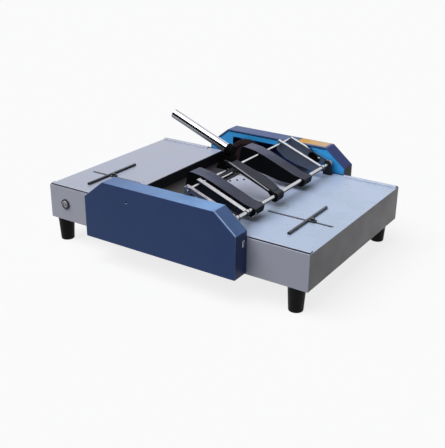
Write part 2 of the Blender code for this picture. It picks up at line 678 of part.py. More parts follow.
def build_tables():
    """Both feed tables, the holes for the switch and the inlet, and the well's left wall."""
    left_box = build_table_box("left_table_box", WELL_START_X, -HALF_LENGTH)
    build_table_box("right_table_box", BED_END_X + FIT, HALF_LENGTH)
    build_table_top("left_table_top", WELL_START_X, -HALF_LENGTH, -COVER_LEFT_X,
                    (-LEFT_SLOT_END, -LEFT_SLOT_START), LEFT_SLOT_Y)
    build_table_top("right_table_top", BED_END_X + FIT, HALF_LENGTH, COVER_RIGHT_X,
                    (RIGHT_SLOT_START, RIGHT_SLOT_END), RIGHT_SLOT_Y)
    centre = (SWITCH_X, TABLE_HEIGHT - SWITCH_DROP)
    switch_hole = rod("switch_hole_cut", centre, SWITCH_BODY_RADIUS + FIT,
                      (-HALF_DEPTH - OVERRUN, OVERRUN - HALF_DEPTH))
    half_width = INLET_BODY_WIDTH / 2 + FIT
    half_height = INLET_BODY_HEIGHT / 2 + FIT
    inlet_hole = box("inlet_hole_cut", (centre[0] - half_width, centre[0] + half_width),
                     (HALF_DEPTH - OVERRUN, HALF_DEPTH + OVERRUN),
                     (centre[1] - half_height, centre[1] + half_height))
    cut(left_box, switch_hole, inlet_hole)
    wall_x = (WELL_START_X + FIT, WELL_START_X + FIT + WELL_WALL_SHEET)
    box("well_wall", wall_x, (FIT - FRAME_INNER_Y, FRAME_INNER_Y - FIT),
        (BASE_TOP + FIT, TABLE_HEIGHT), "black_steel")


def build_side_frame(name, side):
    """A steel side plate with a ledge that carries the bed."""
    low = BASE_TOP + FIT
    high = TABLE_HEIGHT - FIT
    outer_y = side * HALF_DEPTH
    inner_y = side * FRAME_INNER_Y
    frame = box(name, (WELL_START_X + FIT, BED_END_X), sorted((inner_y, outer_y)), (low, high),
                "black_steel")
    ledge_top = TABLE_HEIGHT - BED_SHEET - FIT
    ledge_y = sorted((side * (FRAME_INNER_Y - FRAME_LEDGE_WIDTH), side * (HALF_DEPTH - FIT)))
    ledge = box(name + "_ledge", (BED_START_X + FIT, BED_END_X - FIT), ledge_y,
                (ledge_top - FRAME_LEDGE_SHEET, ledge_top))
    join(frame, ledge)
    return frame


def build_frames():
    """Both side frames. The far one has an ear with the big gear's stub axle."""
    build_side_frame("near_side_frame", -1)
    far = build_side_frame("far_side_frame", 1)
    centre = (DRIVE_GEAR_X, DRIVE_GEAR_Z)
    ear = rod("axle_ear", centre, AXLE_EAR_RADIUS, (FRAME_INNER_Y + FIT, HALF_DEPTH - FIT))
    axle = rod("axle_stub", centre, AXLE_RADIUS, (GEAR_START_Y, HALF_DEPTH - FIT), SMALL_SIDES)
    join(far, ear, axle)


def build_bed():
    """The grey bed plate with its two clinchers, and the chute under the left table's edge."""
    bed_y = FRAME_INNER_Y - FIT
    bed = box("bed_plate", (BED_START_X, BED_END_X), (-bed_y, bed_y),
              (TABLE_HEIGHT - BED_SHEET, TABLE_HEIGHT), "bed_steel")
    left = STAPLE_LINE_X - CLINCHER_LENGTH / 4
    for name, y in (("near_clincher", NEAR_ARM_Y), ("far_clincher", FAR_ARM_Y)):
        half = CLINCHER_WIDTH / 2
        box(name, (left, left + CLINCHER_LENGTH), (y - half, y + half),
            (TABLE_HEIGHT - CLINCHER_DEPTH, TABLE_HEIGHT), "zinc_steel")
        hole = box(name + "_cut", (left - FIT, left + CLINCHER_LENGTH + FIT),
                   (y - half - FIT, y + half + FIT),
                   (TABLE_HEIGHT - CLINCHER_DEPTH - OVERRUN, TABLE_HEIGHT + OVERRUN))
        cut(bed, hole)
    wall_x = WELL_START_X + WELL_WALL_SHEET + 2 * FIT
    chute_end_x = LEFT_ROLLER_X - ROLLER_RADIUS - CHUTE_ROLLER_GAP
    top = TABLE_HEIGHT - CHUTE_DROP
    outline = [
        (wall_x, top - CHUTE_SHEET),
        (chute_end_x, top - CHUTE_FALL - CHUTE_SHEET),
        (chute_end_x, top - CHUTE_FALL),
        (wall_x, top),
    ]
    plate("chute_plate", outline, (-ROLLER_LENGTH / 2, ROLLER_LENGTH / 2), "chute_bronze")


def cover_corners(shrink, corner_round):
    """The six corners of a side cover's outline, drawn in by a wall."""
    left = shrink - COVER_LEFT_X
    right = COVER_RIGHT_X - shrink
    low = FOOT_HEIGHT + COVER_BOTTOM_RISE + shrink
    shoulder = TABLE_HEIGHT + COVER_SHOULDER_RISE - shrink / 2
    top = TABLE_HEIGHT + COVER_TOP_RISE - shrink
    crest_left = COVER_LEFT_SLOPE - COVER_LEFT_X + shrink / 2
    crest_right = COVER_RIGHT_X - COVER_RIGHT_SLOPE - shrink / 2
    return [
        (left, low, corner_round),
        (right, low, corner_round),
        (right, shoulder, corner_round),
        (crest_right, top, corner_round),
        (crest_left, top, corner_round),
        (left, shoulder, corner_round),
    ]


def build_cover(row, side):
    """A hollow side cover, open towards the machine and closed by an inner panel."""
    inner_y = side * (HALF_DEPTH + FIT)
    outer_y = inner_y + side * COVER_DEPTH
    name = row + "_cover"
    cover = plate(name, rounded(cover_corners(0, COVER_CORNER_ROUND)), sorted((inner_y, outer_y)),
                  "cover_blue")
    soften(cover, COVER_EDGE_ROUND)
    hollow_y = sorted((inner_y - side * OVERRUN, outer_y - side * COVER_SHEET))
    hollow = plate(name + "_hollow_cut", rounded(cover_corners(COVER_SHEET, COVER_CORNER_ROUND / 2)),
                   hollow_y)
    cut(cover, hollow)

    panel_y = inner_y + side * PANEL_INSET
    panel_shrink = COVER_SHEET + FIT
    panel = plate(row + "_inner_panel", rounded(cover_corners(panel_shrink, COVER_CORNER_ROUND / 2)),
                  sorted((panel_y, panel_y + side * PANEL_SHEET)), "panel_blue")
    window = rounded([
        (-WINDOW_LEFT_X, TABLE_HEIGHT - WINDOW_BOTTOM_DROP, WINDOW_ROUND),
        (WINDOW_RIGHT_X, TABLE_HEIGHT - WINDOW_BOTTOM_DROP, WINDOW_ROUND),
        (WINDOW_RIGHT_X, TABLE_HEIGHT + WINDOW_TOP_RISE, WINDOW_ROUND),
        (-WINDOW_LEFT_X, TABLE_HEIGHT + WINDOW_TOP_RISE, WINDOW_ROUND),
    ])
    window_y = sorted((panel_y - side * OVERRUN, panel_y + side * OVERRUN))
    cut(panel, plate(row + "_window_cut", window, window_y))


def build_shaft():
    """The pivot shaft and the two black brackets that hold it above the right table."""
    end = HALF_DEPTH - SHAFT_END_GAP
    shaft = rod("pivot_shaft", (0, 0), SHAFT_RADIUS, (-end, end), finish="chrome",
                at=(SHAFT_X, 0, SHAFT_Z))
    soften(shaft, EDGE_ROUND, 1)
    foot = FIT - SHAFT_RISE
    half = BRACKET_WIDTH / 2
    for name, y in (("near_shaft_bracket", NEAR_BRACKET_Y), ("far_shaft_bracket", FAR_BRACKET_Y)):
        outline = [(-half, foot), (half, foot), (half, foot + BRACKET_FOOT_HEIGHT)]
        outline += arc((0, 0), BRACKET_HEAD_RADIUS, 0, math.pi)
        outline += [(-half, foot + BRACKET_FOOT_HEIGHT)]
        half_y = BRACKET_THICKNESS / 2
        bracket = plate(name, outline, (y - half_y, y + half_y), "black_steel",
                        at=(SHAFT_X, 0, SHAFT_Z))
        bore = rod(name + "_bore_cut", (0, 0), SHAFT_RADIUS + FIT,
                   (y - half_y - OVERRUN, y + half_y + OVERRUN), at=(SHAFT_X, 0, SHAFT_Z))
        cut(bracket, bore)


def shaft_bore(name, y, pivot):
    """A cutter for the shaft's running bore in a piece of the stapler frame."""
    return rod(name + "_shaft_cut", (0, 0), SHAFT_RADIUS + FIT,
               (y[0] - OVERRUN, y[1] + OVERRUN), parent=pivot)


def rod_bore(name, y, pivot):
    """A cutter for the cross rod's hole in a piece of the stapler frame."""
    return rod(name + "_rod_cut", on_link(CROSS_ROD_REACH), CROSS_ROD_RADIUS + FIT,
               (y[0] - OVERRUN, y[1] + OVERRUN), SMALL_SIDES, parent=pivot)


def arm_corners(shrink, floor):
    """The side outline of a stapler arm, drawn in by its sheet, down to a floor."""
    reach = ARM_REACH - shrink
    tail = ARM_TAIL_REACH - shrink
    heel = shrink - ARM_TAIL_DROP if floor is None else floor
    belly = BED_LEVEL + ARM_BED_GAP if floor is None else floor
    return [
        (-reach, belly, 0),
        (-ARM_BELLY_REACH, belly, 0),
        (-ARM_HEEL_REACH, heel, 0),
        (tail, heel, ARM_TAIL_LOW_ROUND if floor is None else 0),
        (tail, ARM_HUB_TOP - shrink, ARM_TAIL_TOP_ROUND - shrink),
        (0, ARM_HUB_TOP - shrink, 0),
        (-ARM_BREAK_REACH, ARM_BREAK - shrink, ARM_TOP_ROUND),
        (-ARM_CREST_REACH, ARM_CREST - shrink, ARM_TOP_ROUND),
        (-reach, ARM_NOSE_TOP - shrink, ARM_NOSE_ROUND - shrink),
    ]


def build_stapler_arm(row, y, pivot):
    """One stapler: a deep channel-shaped arm, its head block and its floating magazine."""
    half = ARM_WIDTH / 2
    arm_y = (y - half, y + half)
    name = row + "_stapler_arm"
    arm = plate(name, rounded(arm_corners(0, None)), arm_y, "arm_grey", parent=pivot)
    below = BED_LEVEL - OVERRUN
    hollow = plate(name + "_hollow_cut", rounded(arm_corners(ARM_SHEET, below)),
                   (arm_y[0] + ARM_SHEET, arm_y[1] - ARM_SHEET), parent=pivot)
    cut(arm, hollow, shaft_bore(name, arm_y, pivot), rod_bore(name, arm_y, pivot))

    inner = half - ARM_SHEET - FIT
    left = ARM_SHEET + FIT - ARM_REACH
    head_outline = rounded([
        (left, HEAD_BOTTOM, HEAD_ROUND),
        (left + HEAD_LENGTH, HEAD_BOTTOM, HEAD_ROUND),
        (left + HEAD_LENGTH, HEAD_TOP, HEAD_ROUND),
        (left, HEAD_TOP, HEAD_ROUND),
    ])
    plate(row + "_staple_head", head_outline, (y - inner, y + inner), "zinc_steel", parent=pivot)

    bottom = BED_LEVEL + MAGAZINE_PROUD
    step = bottom + MAGAZINE_NOSE_HEIGHT
    nose = MAGAZINE_NOSE_WIDTH / 2
    section = rounded([
        (y - nose, bottom, MAGAZINE_ROUND),
        (y + nose, bottom, MAGAZINE_ROUND),
        (y + nose, step, 0),
        (y + inner, step, 0),
        (y + inner, step + MAGAZINE_SHOULDER, MAGAZINE_ROUND),
        (y - inner, step + MAGAZINE_SHOULDER, MAGAZINE_ROUND),
        (y - inner, step, 0),
        (y - nose, step, 0),
    ])
    mesh = prism_mesh(row + "_magazine", section, left, left + MAGAZINE_LENGTH, "X")
    add_object(row + "_magazine", mesh, "zinc_steel", parent=pivot)


def build_middle_bar(pivot):
    """The flat grey bar between the staplers, on a rounded hub, and the bright link beside it."""
    half = MIDDLE_BAR_WIDTH / 2
    y = (MIDDLE_BAR_Y - half, MIDDLE_BAR_Y + half)
    outline = [
        (-MIDDLE_BAR_REACH, MIDDLE_BAR_TIP_TOP),
        (-MIDDLE_BAR_REACH, MIDDLE_BAR_TIP_TOP - MIDDLE_BAR_THICKNESS),
        (-MIDDLE_HUB_NECK, MIDDLE_BAR_HUB_TOP - MIDDLE_BAR_THICKNESS),
    ]
    outline += arc((0, -MIDDLE_HUB_DROP), MIDDLE_HUB_RADIUS, math.pi, math.tau)
    outline += [(MIDDLE_HUB_RADIUS, MIDDLE_BAR_HUB_TOP - MIDDLE_HUB_DROP)]
    outline += [(MIDDLE_HUB_RADIUS - MIDDLE_HUB_DROP, MIDDLE_BAR_HUB_TOP), (0, MIDDLE_BAR_HUB_TOP)]
    bar = plate("middle_bar", outline, y, "arm_grey", parent=pivot)
    soften(bar, EDGE_ROUND, 1)
    cut(bar, shaft_bore("middle_bar", y, pivot))
    build_link("middle_link", MIDDLE_LINK_Y, MIDDLE_LINK_WIDTH, MIDDLE_LINK_REACH, pivot,
               MIDDLE_LINK_TILT_DEG)


def build_link(name, y, width, reach, pivot, tilt_deg=LINK_TILT_DEG, web_depth=0):
    """A bright tapered link from an eye on the shaft to a rounded tip, with or without a web."""
    span = (y - width / 2, y + width / 2)
    tip = on_link(reach, tilt_deg)
    outline = link_outline((0, 0), tip, LINK_EYE_RADIUS, LINK_TIP_RADIUS)
    if web_depth:
        corner = (tip[0], tip[1] - web_depth)
        outline = belt_outline([((0, 0), LINK_EYE_RADIUS), (tip, LINK_TIP_RADIUS),
                                (corner, WEB_CORNER_RADIUS)])
    link = plate(name, outline, span, "chrome", parent=pivot)
    cut(link, shaft_bore(name, span, pivot))
    return link


def build_links(pivot):
    """The four outer links, with the cross rod and the thin tie rod that hold them together."""
    links = (
        ("near_outer_link", NEAR_OUTER_LINK_Y, NEAR_OUTER_LINK_REACH, 0),
        ("near_inner_link", NEAR_INNER_LINK_Y, INNER_LINK_REACH, INNER_WEB_DEPTH),
        ("far_inner_link", FAR_INNER_LINK_Y, INNER_LINK_REACH, INNER_WEB_DEPTH),
        ("far_outer_link", FAR_OUTER_LINK_Y, FAR_OUTER_LINK_REACH, OUTER_WEB_DEPTH),
    )
    half = LINK_WIDTH / 2
    for name, y, reach, web_depth in links:
        link = build_link(name, y, LINK_WIDTH, reach, pivot, web_depth=web_depth)
        cut(link, rod_bore(name, (y - half, y + half), pivot))
    rod("cross_rod", on_link(CROSS_ROD_REACH), CROSS_ROD_RADIUS,
        (NEAR_OUTER_LINK_Y - half + FIT, FAR_OUTER_LINK_Y + half), SMALL_SIDES, "chrome", parent=pivot)
    tie_y = (NEAR_ARM_Y + ARM_WIDTH / 2 + FIT, MIDDLE_LINK_Y - MIDDLE_LINK_WIDTH / 2 - FIT)
    rod("tie_rod", (-TIE_ROD_REACH, TIE_ROD_RISE), TIE_ROD_RADIUS, tie_y, SMALL_SIDES, "chrome",
        parent=pivot)


def build_lever(pivot):
    """The black press block at the middle bar's tip and the chrome lever in its collar."""
    half = BLOCK_WIDTH / 2
    y = (LEVER_Y - half, LEVER_Y + half)
    right = -MIDDLE_BAR_REACH - FIT
    outline = rounded([
        (-BLOCK_REACH, BED_LEVEL + BLOCK_BED_GAP, BLOCK_ROUND),
        (right, BED_LEVEL + BLOCK_BED_GAP, BLOCK_ROUND),
        (right, BLOCK_TOP, 0),
        (-BLOCK_STEP_REACH, BLOCK_TOP, 0),
        (-BLOCK_STEP_REACH, BLOCK_STEP_TOP, BLOCK_ROUND),
        (-BLOCK_REACH, BLOCK_SHIN_TOP, BLOCK_ROUND),
    ])
    block = plate("lever_block", outline, y, "black_steel", parent=pivot)
    tilt = math.radians(LEVER_TILT_DEG)
    foot = (-LEVER_FOOT_REACH, LEVER_Y, LEVER_FOOT_RISE)
    turn = tilt - math.pi / 2
    collar_profile = [
        (0, -COLLAR_FLOOR),
        (COLLAR_RADIUS - COLLAR_ROUND, -COLLAR_FLOOR),
        (COLLAR_RADIUS, COLLAR_ROUND - COLLAR_FLOOR),
        (COLLAR_RADIUS, COLLAR_LENGTH - COLLAR_FLOOR - COLLAR_ROUND),
        (COLLAR_RADIUS - COLLAR_ROUND, COLLAR_LENGTH - COLLAR_FLOOR),
        (0, COLLAR_LENGTH - COLLAR_FLOOR),
    ]
    collar = add_object("collar", turned_mesh("collar", collar_profile), parent=pivot, at=foot,
                        turn_y=turn)
    socket_radius = LEVER_RADIUS + FIT
    socket_profile = [
        (0, 0),
        (socket_radius, 0),
        (socket_radius, LEVER_LENGTH),
        (0, LEVER_LENGTH),
    ]
    socket = add_object("collar_cut", turned_mesh("socket", socket_profile), parent=pivot, at=foot,
                        turn_y=turn)
    join(block, collar)
    cut(block, socket)
    lever_profile = [
        (0, FIT),
        (LEVER_RADIUS, FIT),
        (LEVER_RADIUS, LEVER_LENGTH - LEVER_END_ROUND),
        (LEVER_RADIUS - LEVER_END_ROUND / 2, LEVER_LENGTH - LEVER_END_ROUND / 4),
        (LEVER_RADIUS - LEVER_END_ROUND, LEVER_LENGTH),
        (0, LEVER_LENGTH),
    ]
    add_object("lever_tube", turned_mesh("lever_tube", lever_profile), "chrome", parent=pivot,
               at=foot, turn_y=turn)


def build_lift_spring(pivot):
    """The coil spring that lifts the frame, and the riveted bracket that it pushes on."""
    sheet = SPRING_BRACKET_SHEET
    half = SPRING_BRACKET_WIDTH / 2
    height = SPRING_BRACKET_TOP_RISE - SPRING_BRACKET_FLOOR_RISE
    link_half = LINK_WIDTH / 2
    outer_y = NEAR_OUTER_LINK_Y - link_half - FIT
    seat = drawn_level(SPRING_X, TABLE_HEIGHT + SPRING_BRACKET_FLOOR_RISE)
    hung = {"parent": pivot, "at": (seat[0], 0, seat[1]), "turn_y": -LIFT_ANGLE}
    ear = rounded([
        (-half, 0, 0),
        (half, 0, 0),
        (half, height, sheet),
        (-half, height, sheet),
    ])
    bracket = plate("spring_bracket", ear, (outer_y - sheet, outer_y), "zinc_steel", **hung)
    shelf = box("spring_shelf", (-half, half), (outer_y - sheet / 2, NEAR_OUTER_LINK_Y + link_half),
                (0, sheet), **hung)
    pin = rod_along_z("spring_pin", (0, NEAR_OUTER_LINK_Y), SPRING_PIN_RADIUS,
                      (-SPRING_PIN_LENGTH, sheet / 2), **hung)
    join(bracket, shelf, pin)
    build_spring_coil(TABLE_HEIGHT + SPRING_BRACKET_FLOOR_RISE)


def rod_along_z(name, centre, radius, z, sides=SMALL_SIDES, **place):
    """A round rod along Z."""
    return add_object(name, prism_mesh(name, circle(centre, radius, sides), z[0], z[1], "Z"), **place)


def build_spring_coil(ceiling):
    """One unbroken wire wound between the bed and the bracket."""
    low = TABLE_HEIGHT + FIT + SPRING_WIRE_RADIUS
    high = ceiling - FIT - SPRING_WIRE_RADIUS
    count = SPRING_TURNS * SPRING_POINTS_PER_TURN
    curve = bpy.data.curves.new("lift_spring", "CURVE")
    curve.dimensions = "3D"
    curve.bevel_depth = SPRING_WIRE_RADIUS
    curve.bevel_resolution = 1
    curve.use_fill_caps = True
    wire = curve.splines.new("POLY")
    wire.points.add(count)
    for index, point in enumerate(wire.points):
        angle = math.tau * index / SPRING_POINTS_PER_TURN
        rise = (high - low) * index / count
        point.co = (SPRING_COIL_RADIUS * math.cos(angle), SPRING_COIL_RADIUS * math.sin(angle), rise, 1)
    places = [point.co.to_3d() for point in wire.points]
    apart = SPRING_POINTS_PER_TURN // 2
    least = min((a - b).length for i, a in enumerate(places) for b in places[i + apart:])
    print("lift spring: least gap between its turns", round((least - 2 * SPRING_WIRE_RADIUS) / MM, 2), "mm")
    curve.materials.append(FINISHES["zinc_steel"])
    spring = bpy.data.objects.new("lift_spring", curve)
    bpy.context.scene.collection.objects.link(spring)
    spring.location = (SPRING_X, NEAR_OUTER_LINK_Y, low)


def build_press_frame():
    """Everything that swings about the shaft, drawn level and then lifted to rest."""
    pivot = bpy.data.objects.new("press_frame_pivot", None)
    bpy.context.scene.collection.objects.link(pivot)
    pivot.location = (SHAFT_X, 0, SHAFT_Z)
    pivot.rotation_euler = (0, LIFT_ANGLE, 0)
    build_stapler_arm("near", NEAR_ARM_Y, pivot)
    build_stapler_arm("far", FAR_ARM_Y, pivot)
    build_middle_bar(pivot)
    build_links(pivot)
    build_lever(pivot)
    build_lift_spring(pivot)


def build_stop(name, side, bar_x, slot_y, middle_y):
    """A paper stop: a bar with a lug and a key in the slot, and the knob that clamps it."""
    low = TABLE_HEIGHT + FIT
    half = STOP_BAR_WIDTH / 2
    half_length = STOP_BAR_LENGTH / 2
    slide = bpy.data.objects.new(name + "_slide", None)
    bpy.context.scene.collection.objects.link(slide)
    slide.location = (side * bar_x, slot_y, low)
    middle = middle_y - slot_y
    section = rounded([
        (-half, 0, 0),
        (half, 0, 0),
        (half, STOP_BAR_HEIGHT, STOP_BAR_ROUND),
        (-half, STOP_BAR_HEIGHT, STOP_BAR_ROUND),
    ])
    bar = plate(name + "_bar", section, (middle - half_length, middle + half_length), "stop_grey",
                parent=slide)
    lug_end = STOP_KNOB_OFFSET + STOP_LUG_WIDTH / 2
    lug = box(name + "_lug", (0, lug_end), (-STOP_LUG_WIDTH / 2, STOP_LUG_WIDTH / 2),
              (0, STOP_LUG_HEIGHT), parent=slide)
    key_half = SLOT_WIDTH / 2 - FIT
    key = box(name + "_key", (-STOP_KEY_LENGTH / 2, STOP_KEY_LENGTH / 2), (-key_half, key_half),
              (-TABLE_SHEET, STOP_LUG_HEIGHT / 2), parent=slide)
    knob_x = STOP_KNOB_OFFSET
    bore = rod_along_z(name + "_bore_cut", (knob_x, 0), KNOB_STEM_RADIUS + FIT,
                       (-OVERRUN, STOP_LUG_HEIGHT + OVERRUN), parent=slide)
    join(bar, lug, key)
    cut(bar, bore)

    foot = STOP_LUG_HEIGHT + FIT
    nut_top = -TABLE_SHEET - 2 * FIT
    outline = []
    for index in range(2 * KNOB_FLUTES):
        angle = math.pi * index / KNOB_FLUTES
        radius = KNOB_RADIUS - KNOB_FLUTE_DEPTH * (index % 2)
        outline.append((radius * math.cos(angle), radius * math.sin(angle)))
    mesh = prism_mesh(name + "_knob", outline, foot, foot + KNOB_HEIGHT, "Z")
    knob = add_object(name + "_knob", mesh, "black_plastic", parent=slide, at=(knob_x, 0, 0))
    knob_place = {"parent": slide, "at": (knob_x, 0, 0)}
    stem = rod_along_z(name + "_stem", (0, 0), KNOB_STEM_RADIUS,
                       (nut_top - KNOB_NUT_HEIGHT / 2, foot + KNOB_HEIGHT / 2), **knob_place)
    nut = rod_along_z(name + "_nut", (0, 0), KNOB_NUT_RADIUS, (nut_top - KNOB_NUT_HEIGHT, nut_top),
                      **knob_place)
    join(knob, stem, nut)


def gear_outline(teeth, module, turn):
    """A gear's outline: four points a tooth, with tooth 0 centred on the turn angle."""
    pitch_radius = teeth * module / 2
    root = pitch_radius - DEDENDUM_SHARE * module
    tip = pitch_radius + ADDENDUM_SHARE * module
    pitch = math.tau / teeth
    outline = []
    for tooth in range(teeth):
        centre = turn + tooth * pitch
        corners = ((root, -TOOTH_ROOT_SHARE), (tip, -TOOTH_TIP_SHARE),
                   (tip, TOOTH_TIP_SHARE), (root, TOOTH_ROOT_SHARE))
        for radius, share in corners:
            angle = centre + share * pitch
            outline.append((radius * math.cos(angle), radius * math.sin(angle)))
    return outline


def mesh_turn(turn, teeth, next_teeth, direction):
    """The turn that puts a gear's gap opposite the tooth of the gear that it meshes with."""
    pitch = math.tau / teeth
    off_line = (turn - direction + pitch / 2) % pitch - pitch / 2
    return direction + math.pi - off_line * teeth / next_teeth + math.pi / next_teeth


def build_gear(name, centre, teeth, module, turn, y, bore_radius, finish):
    """A spur gear along Y with a plain bore."""
    gear = plate(name, gear_outline(teeth, module, turn), y, finish, at=(centre[0], 0, centre[1]))
    bore = rod(name + "_bore_cut", (0, 0), bore_radius + FIT, (y[0] - OVERRUN, y[1] + OVERRUN),
               SMALL_SIDES, at=(centre[0], 0, centre[1]))
    cut(gear, bore)
    return gear


def build_roller(row, x, shaft_y):
    """A rubber fold roller on its steel shaft."""
    half = ROLLER_LENGTH / 2
    inner = JOURNAL_RADIUS + FIT
    sleeve_outline = [
        (0, -half),
        (ROLLER_RADIUS - ROLLER_CHAMFER, -half),
        (ROLLER_RADIUS, ROLLER_CHAMFER - half),
        (ROLLER_RADIUS, half - ROLLER_CHAMFER),
        (ROLLER_RADIUS - ROLLER_CHAMFER, half),
        (0, half),
    ]
    mesh = turned_mesh(row + "_roller", sleeve_outline, "Y", FINE_SIDES)
    sleeve = add_object(row + "_roller", mesh, "roller_rubber", at=(x, 0, ROLLER_Z))
    cut(sleeve, rod(row + "_roller_bore_cut", (0, 0), inner, (-half - OVERRUN, half + OVERRUN),
                    at=(x, 0, ROLLER_Z)))
    rod(row + "_roller_shaft", (0, 0), JOURNAL_RADIUS, shaft_y, finish="zinc_steel",
        at=(x, 0, ROLLER_Z))


def build_bearing_plate(row, side, motor):
    """A plate that carries both rollers' shafts and, on the far side, the motor."""
    low = BASE_TOP + FIT
    top = TABLE_HEIGHT - BEARING_PLATE_TOP_DROP
    left = WELL_START_X + WELL_WALL_SHEET + 2 * FIT
    y = sorted((side * PLATE_INNER_Y, side * PLATE_OUTER_Y))
    name = row + "_bearing_plate"
    shelf_top = TABLE_HEIGHT - CHUTE_DROP - CHUTE_FALL - CHUTE_SHEET
    outline = rounded([
        (left, low, 0),
        (BEARING_PLATE_RIGHT_X, low, 0),
        (BEARING_PLATE_RIGHT_X, top, BEARING_BOSS_RADIUS),
        (left, min(top, shelf_top), 0),
    ])
    bearing = plate(name, outline, y, "zinc_steel")
    span = (y[0] - OVERRUN, y[1] + OVERRUN)
    for label, x in (("left", LEFT_ROLLER_X), ("right", RIGHT_ROLLER_X)):
        cut(bearing, rod(name + "_" + label + "_cut", (x, ROLLER_Z), JOURNAL_RADIUS + FIT, span))
    if side > 0:
        cut(bearing, rod(name + "_motor_cut", motor, MOTOR_NECK_RADIUS + FIT, span))


def build_fold_unit():
    """The fold rollers, their timing gears, and the drive from the motor through the big gear."""
    left = (LEFT_ROLLER_X, ROLLER_Z)
    right = (RIGHT_ROLLER_X, ROLLER_Z)
    drive = (DRIVE_GEAR_X, DRIVE_GEAR_Z)
    gear_y = (GEAR_START_Y, GEAR_START_Y + DRIVE_GEAR_WIDTH)
    timing_y = (-GEAR_START_Y - TIMING_GEAR_WIDTH, -GEAR_START_Y)

    motor = (MOTOR_X, MOTOR_Z)
    to_pinion = math.atan2(DRIVE_SPAN.y, DRIVE_SPAN.x)

    build_roller("left", LEFT_ROLLER_X, (timing_y[0], PLATE_OUTER_Y))
    build_roller("right", RIGHT_ROLLER_X, (timing_y[0], gear_y[1]))
    build_bearing_plate("near", -1, motor)
    build_bearing_plate("far", 1, motor)

    timing_module = ROLLER_PITCH / TIMING_TEETH
    build_gear("right_timing_gear", right, TIMING_TEETH, timing_module, math.pi, timing_y,
               JOURNAL_RADIUS, "zinc_steel")
    build_gear("left_timing_gear", left, TIMING_TEETH, timing_module,
               mesh_turn(math.pi, TIMING_TEETH, TIMING_TEETH, math.pi), timing_y,
               JOURNAL_RADIUS, "zinc_steel")

    build_drive_gear(drive, to_pinion, gear_y)
    build_gear("roller_pinion", right, ROLLER_PINION_TEETH, DRIVE_MODULE,
               mesh_turn(to_pinion, DRIVE_TEETH, ROLLER_PINION_TEETH, to_pinion), gear_y,
               JOURNAL_RADIUS, "gear_brown")
    build_gear("motor_pinion", motor, MOTOR_PINION_TEETH, DRIVE_MODULE,
               mesh_turn(to_pinion, DRIVE_TEETH, MOTOR_PINION_TEETH, MOTOR_DIRECTION), gear_y,
               MOTOR_SHAFT_RADIUS, "zinc_steel")
    build_motor(motor, gear_y)


def build_drive_gear(centre, turn, y):
    """The big brown gear, with a thin web between its rim and its hub."""
    gear = build_gear("drive_gear", centre, DRIVE_TEETH, DRIVE_MODULE, turn, y, AXLE_RADIUS, "gear_brown")
    rim = DRIVE_TEETH * DRIVE_MODULE / 2 * DRIVE_RIM_SHARE
    middle = (y[0] + y[1]) / 2
    place = {"at": (centre[0], 0, centre[1])}
    faces = ((y[0] - OVERRUN, middle - DRIVE_WEB / 2), (middle + DRIVE_WEB / 2, y[1] + OVERRUN))
    for label, span in zip(("near", "far"), faces):
        pocket = rod("drive_gear_" + label + "_cut", (0, 0), rim, span, **place)
        core = rod("drive_gear_" + label + "_core_cut", (0, 0), DRIVE_HUB_RADIUS,
                   (span[0] - OVERRUN, span[1] + OVERRUN), **place)
        cut(pocket, core)
        cut(gear, pocket)


def build_motor(centre, gear_y):
    """The gear motor that hangs on the far bearing plate, with its neck and shaft."""
    start = PLATE_INNER_Y - FIT
    place = {"at": (centre[0], 0, centre[1])}
    motor = rod("gear_motor", (0, 0), MOTOR_RADIUS, (start - MOTOR_LENGTH, start),
                finish="motor_grey", **place)
    neck = rod("motor_neck", (0, 0), MOTOR_NECK_RADIUS, (start - OVERRUN, start + MOTOR_NECK_LENGTH),
               **place)
    shaft = rod("motor_shaft", (0, 0), MOTOR_SHAFT_RADIUS, (start, gear_y[1]), SMALL_SIDES, **place)
    join(motor, neck, shaft)


def build_switch():
    """The round switch on the left table's near face: a cup-shaped bezel and its rocker."""
    z = TABLE_HEIGHT - SWITCH_DROP
    face = -HALF_DEPTH - FIT
    place = {"at": (SWITCH_X, face, z)}
    bezel = rod("switch_bezel", (0, 0), SWITCH_FLANGE_RADIUS, (-SWITCH_FLANGE_THICKNESS, 0),
                FINE_SIDES, "black_plastic", **place)
    soften(bezel, EDGE_ROUND)
    body = rod("switch_body", (0, 0), SWITCH_BODY_RADIUS, (-EDGE_ROUND, SWITCH_BODY_LENGTH), **place)
    well = rod("switch_well_cut", (0, 0), SWITCH_WELL_RADIUS,
               (-SWITCH_FLANGE_THICKNESS - OVERRUN, SWITCH_WELL_DEPTH), **place)
    join(bezel, body)
    cut(bezel, well)
    hinge_y = face - SWITCH_FLANGE_THICKNESS - ROCKER_PROUD + ROCKER_THICKNESS / 2
    rocker = rod("power_rocker", (0, 0), ROCKER_RADIUS, (-ROCKER_THICKNESS / 2, ROCKER_THICKNESS / 2),
                 finish="rocker_grey", at=(SWITCH_X, hinge_y, z))
    pin = prism_mesh("rocker_pin", circle((0, 0), ROCKER_THICKNESS / 4, SMALL_SIDES),
                     FIT - SWITCH_WELL_RADIUS, SWITCH_WELL_RADIUS - FIT, "X")
    join(rocker, add_object("rocker_pin", pin, parent=rocker))
    rocker.rotation_euler = (math.radians(ROCKER_TILT_DEG), 0, 0)


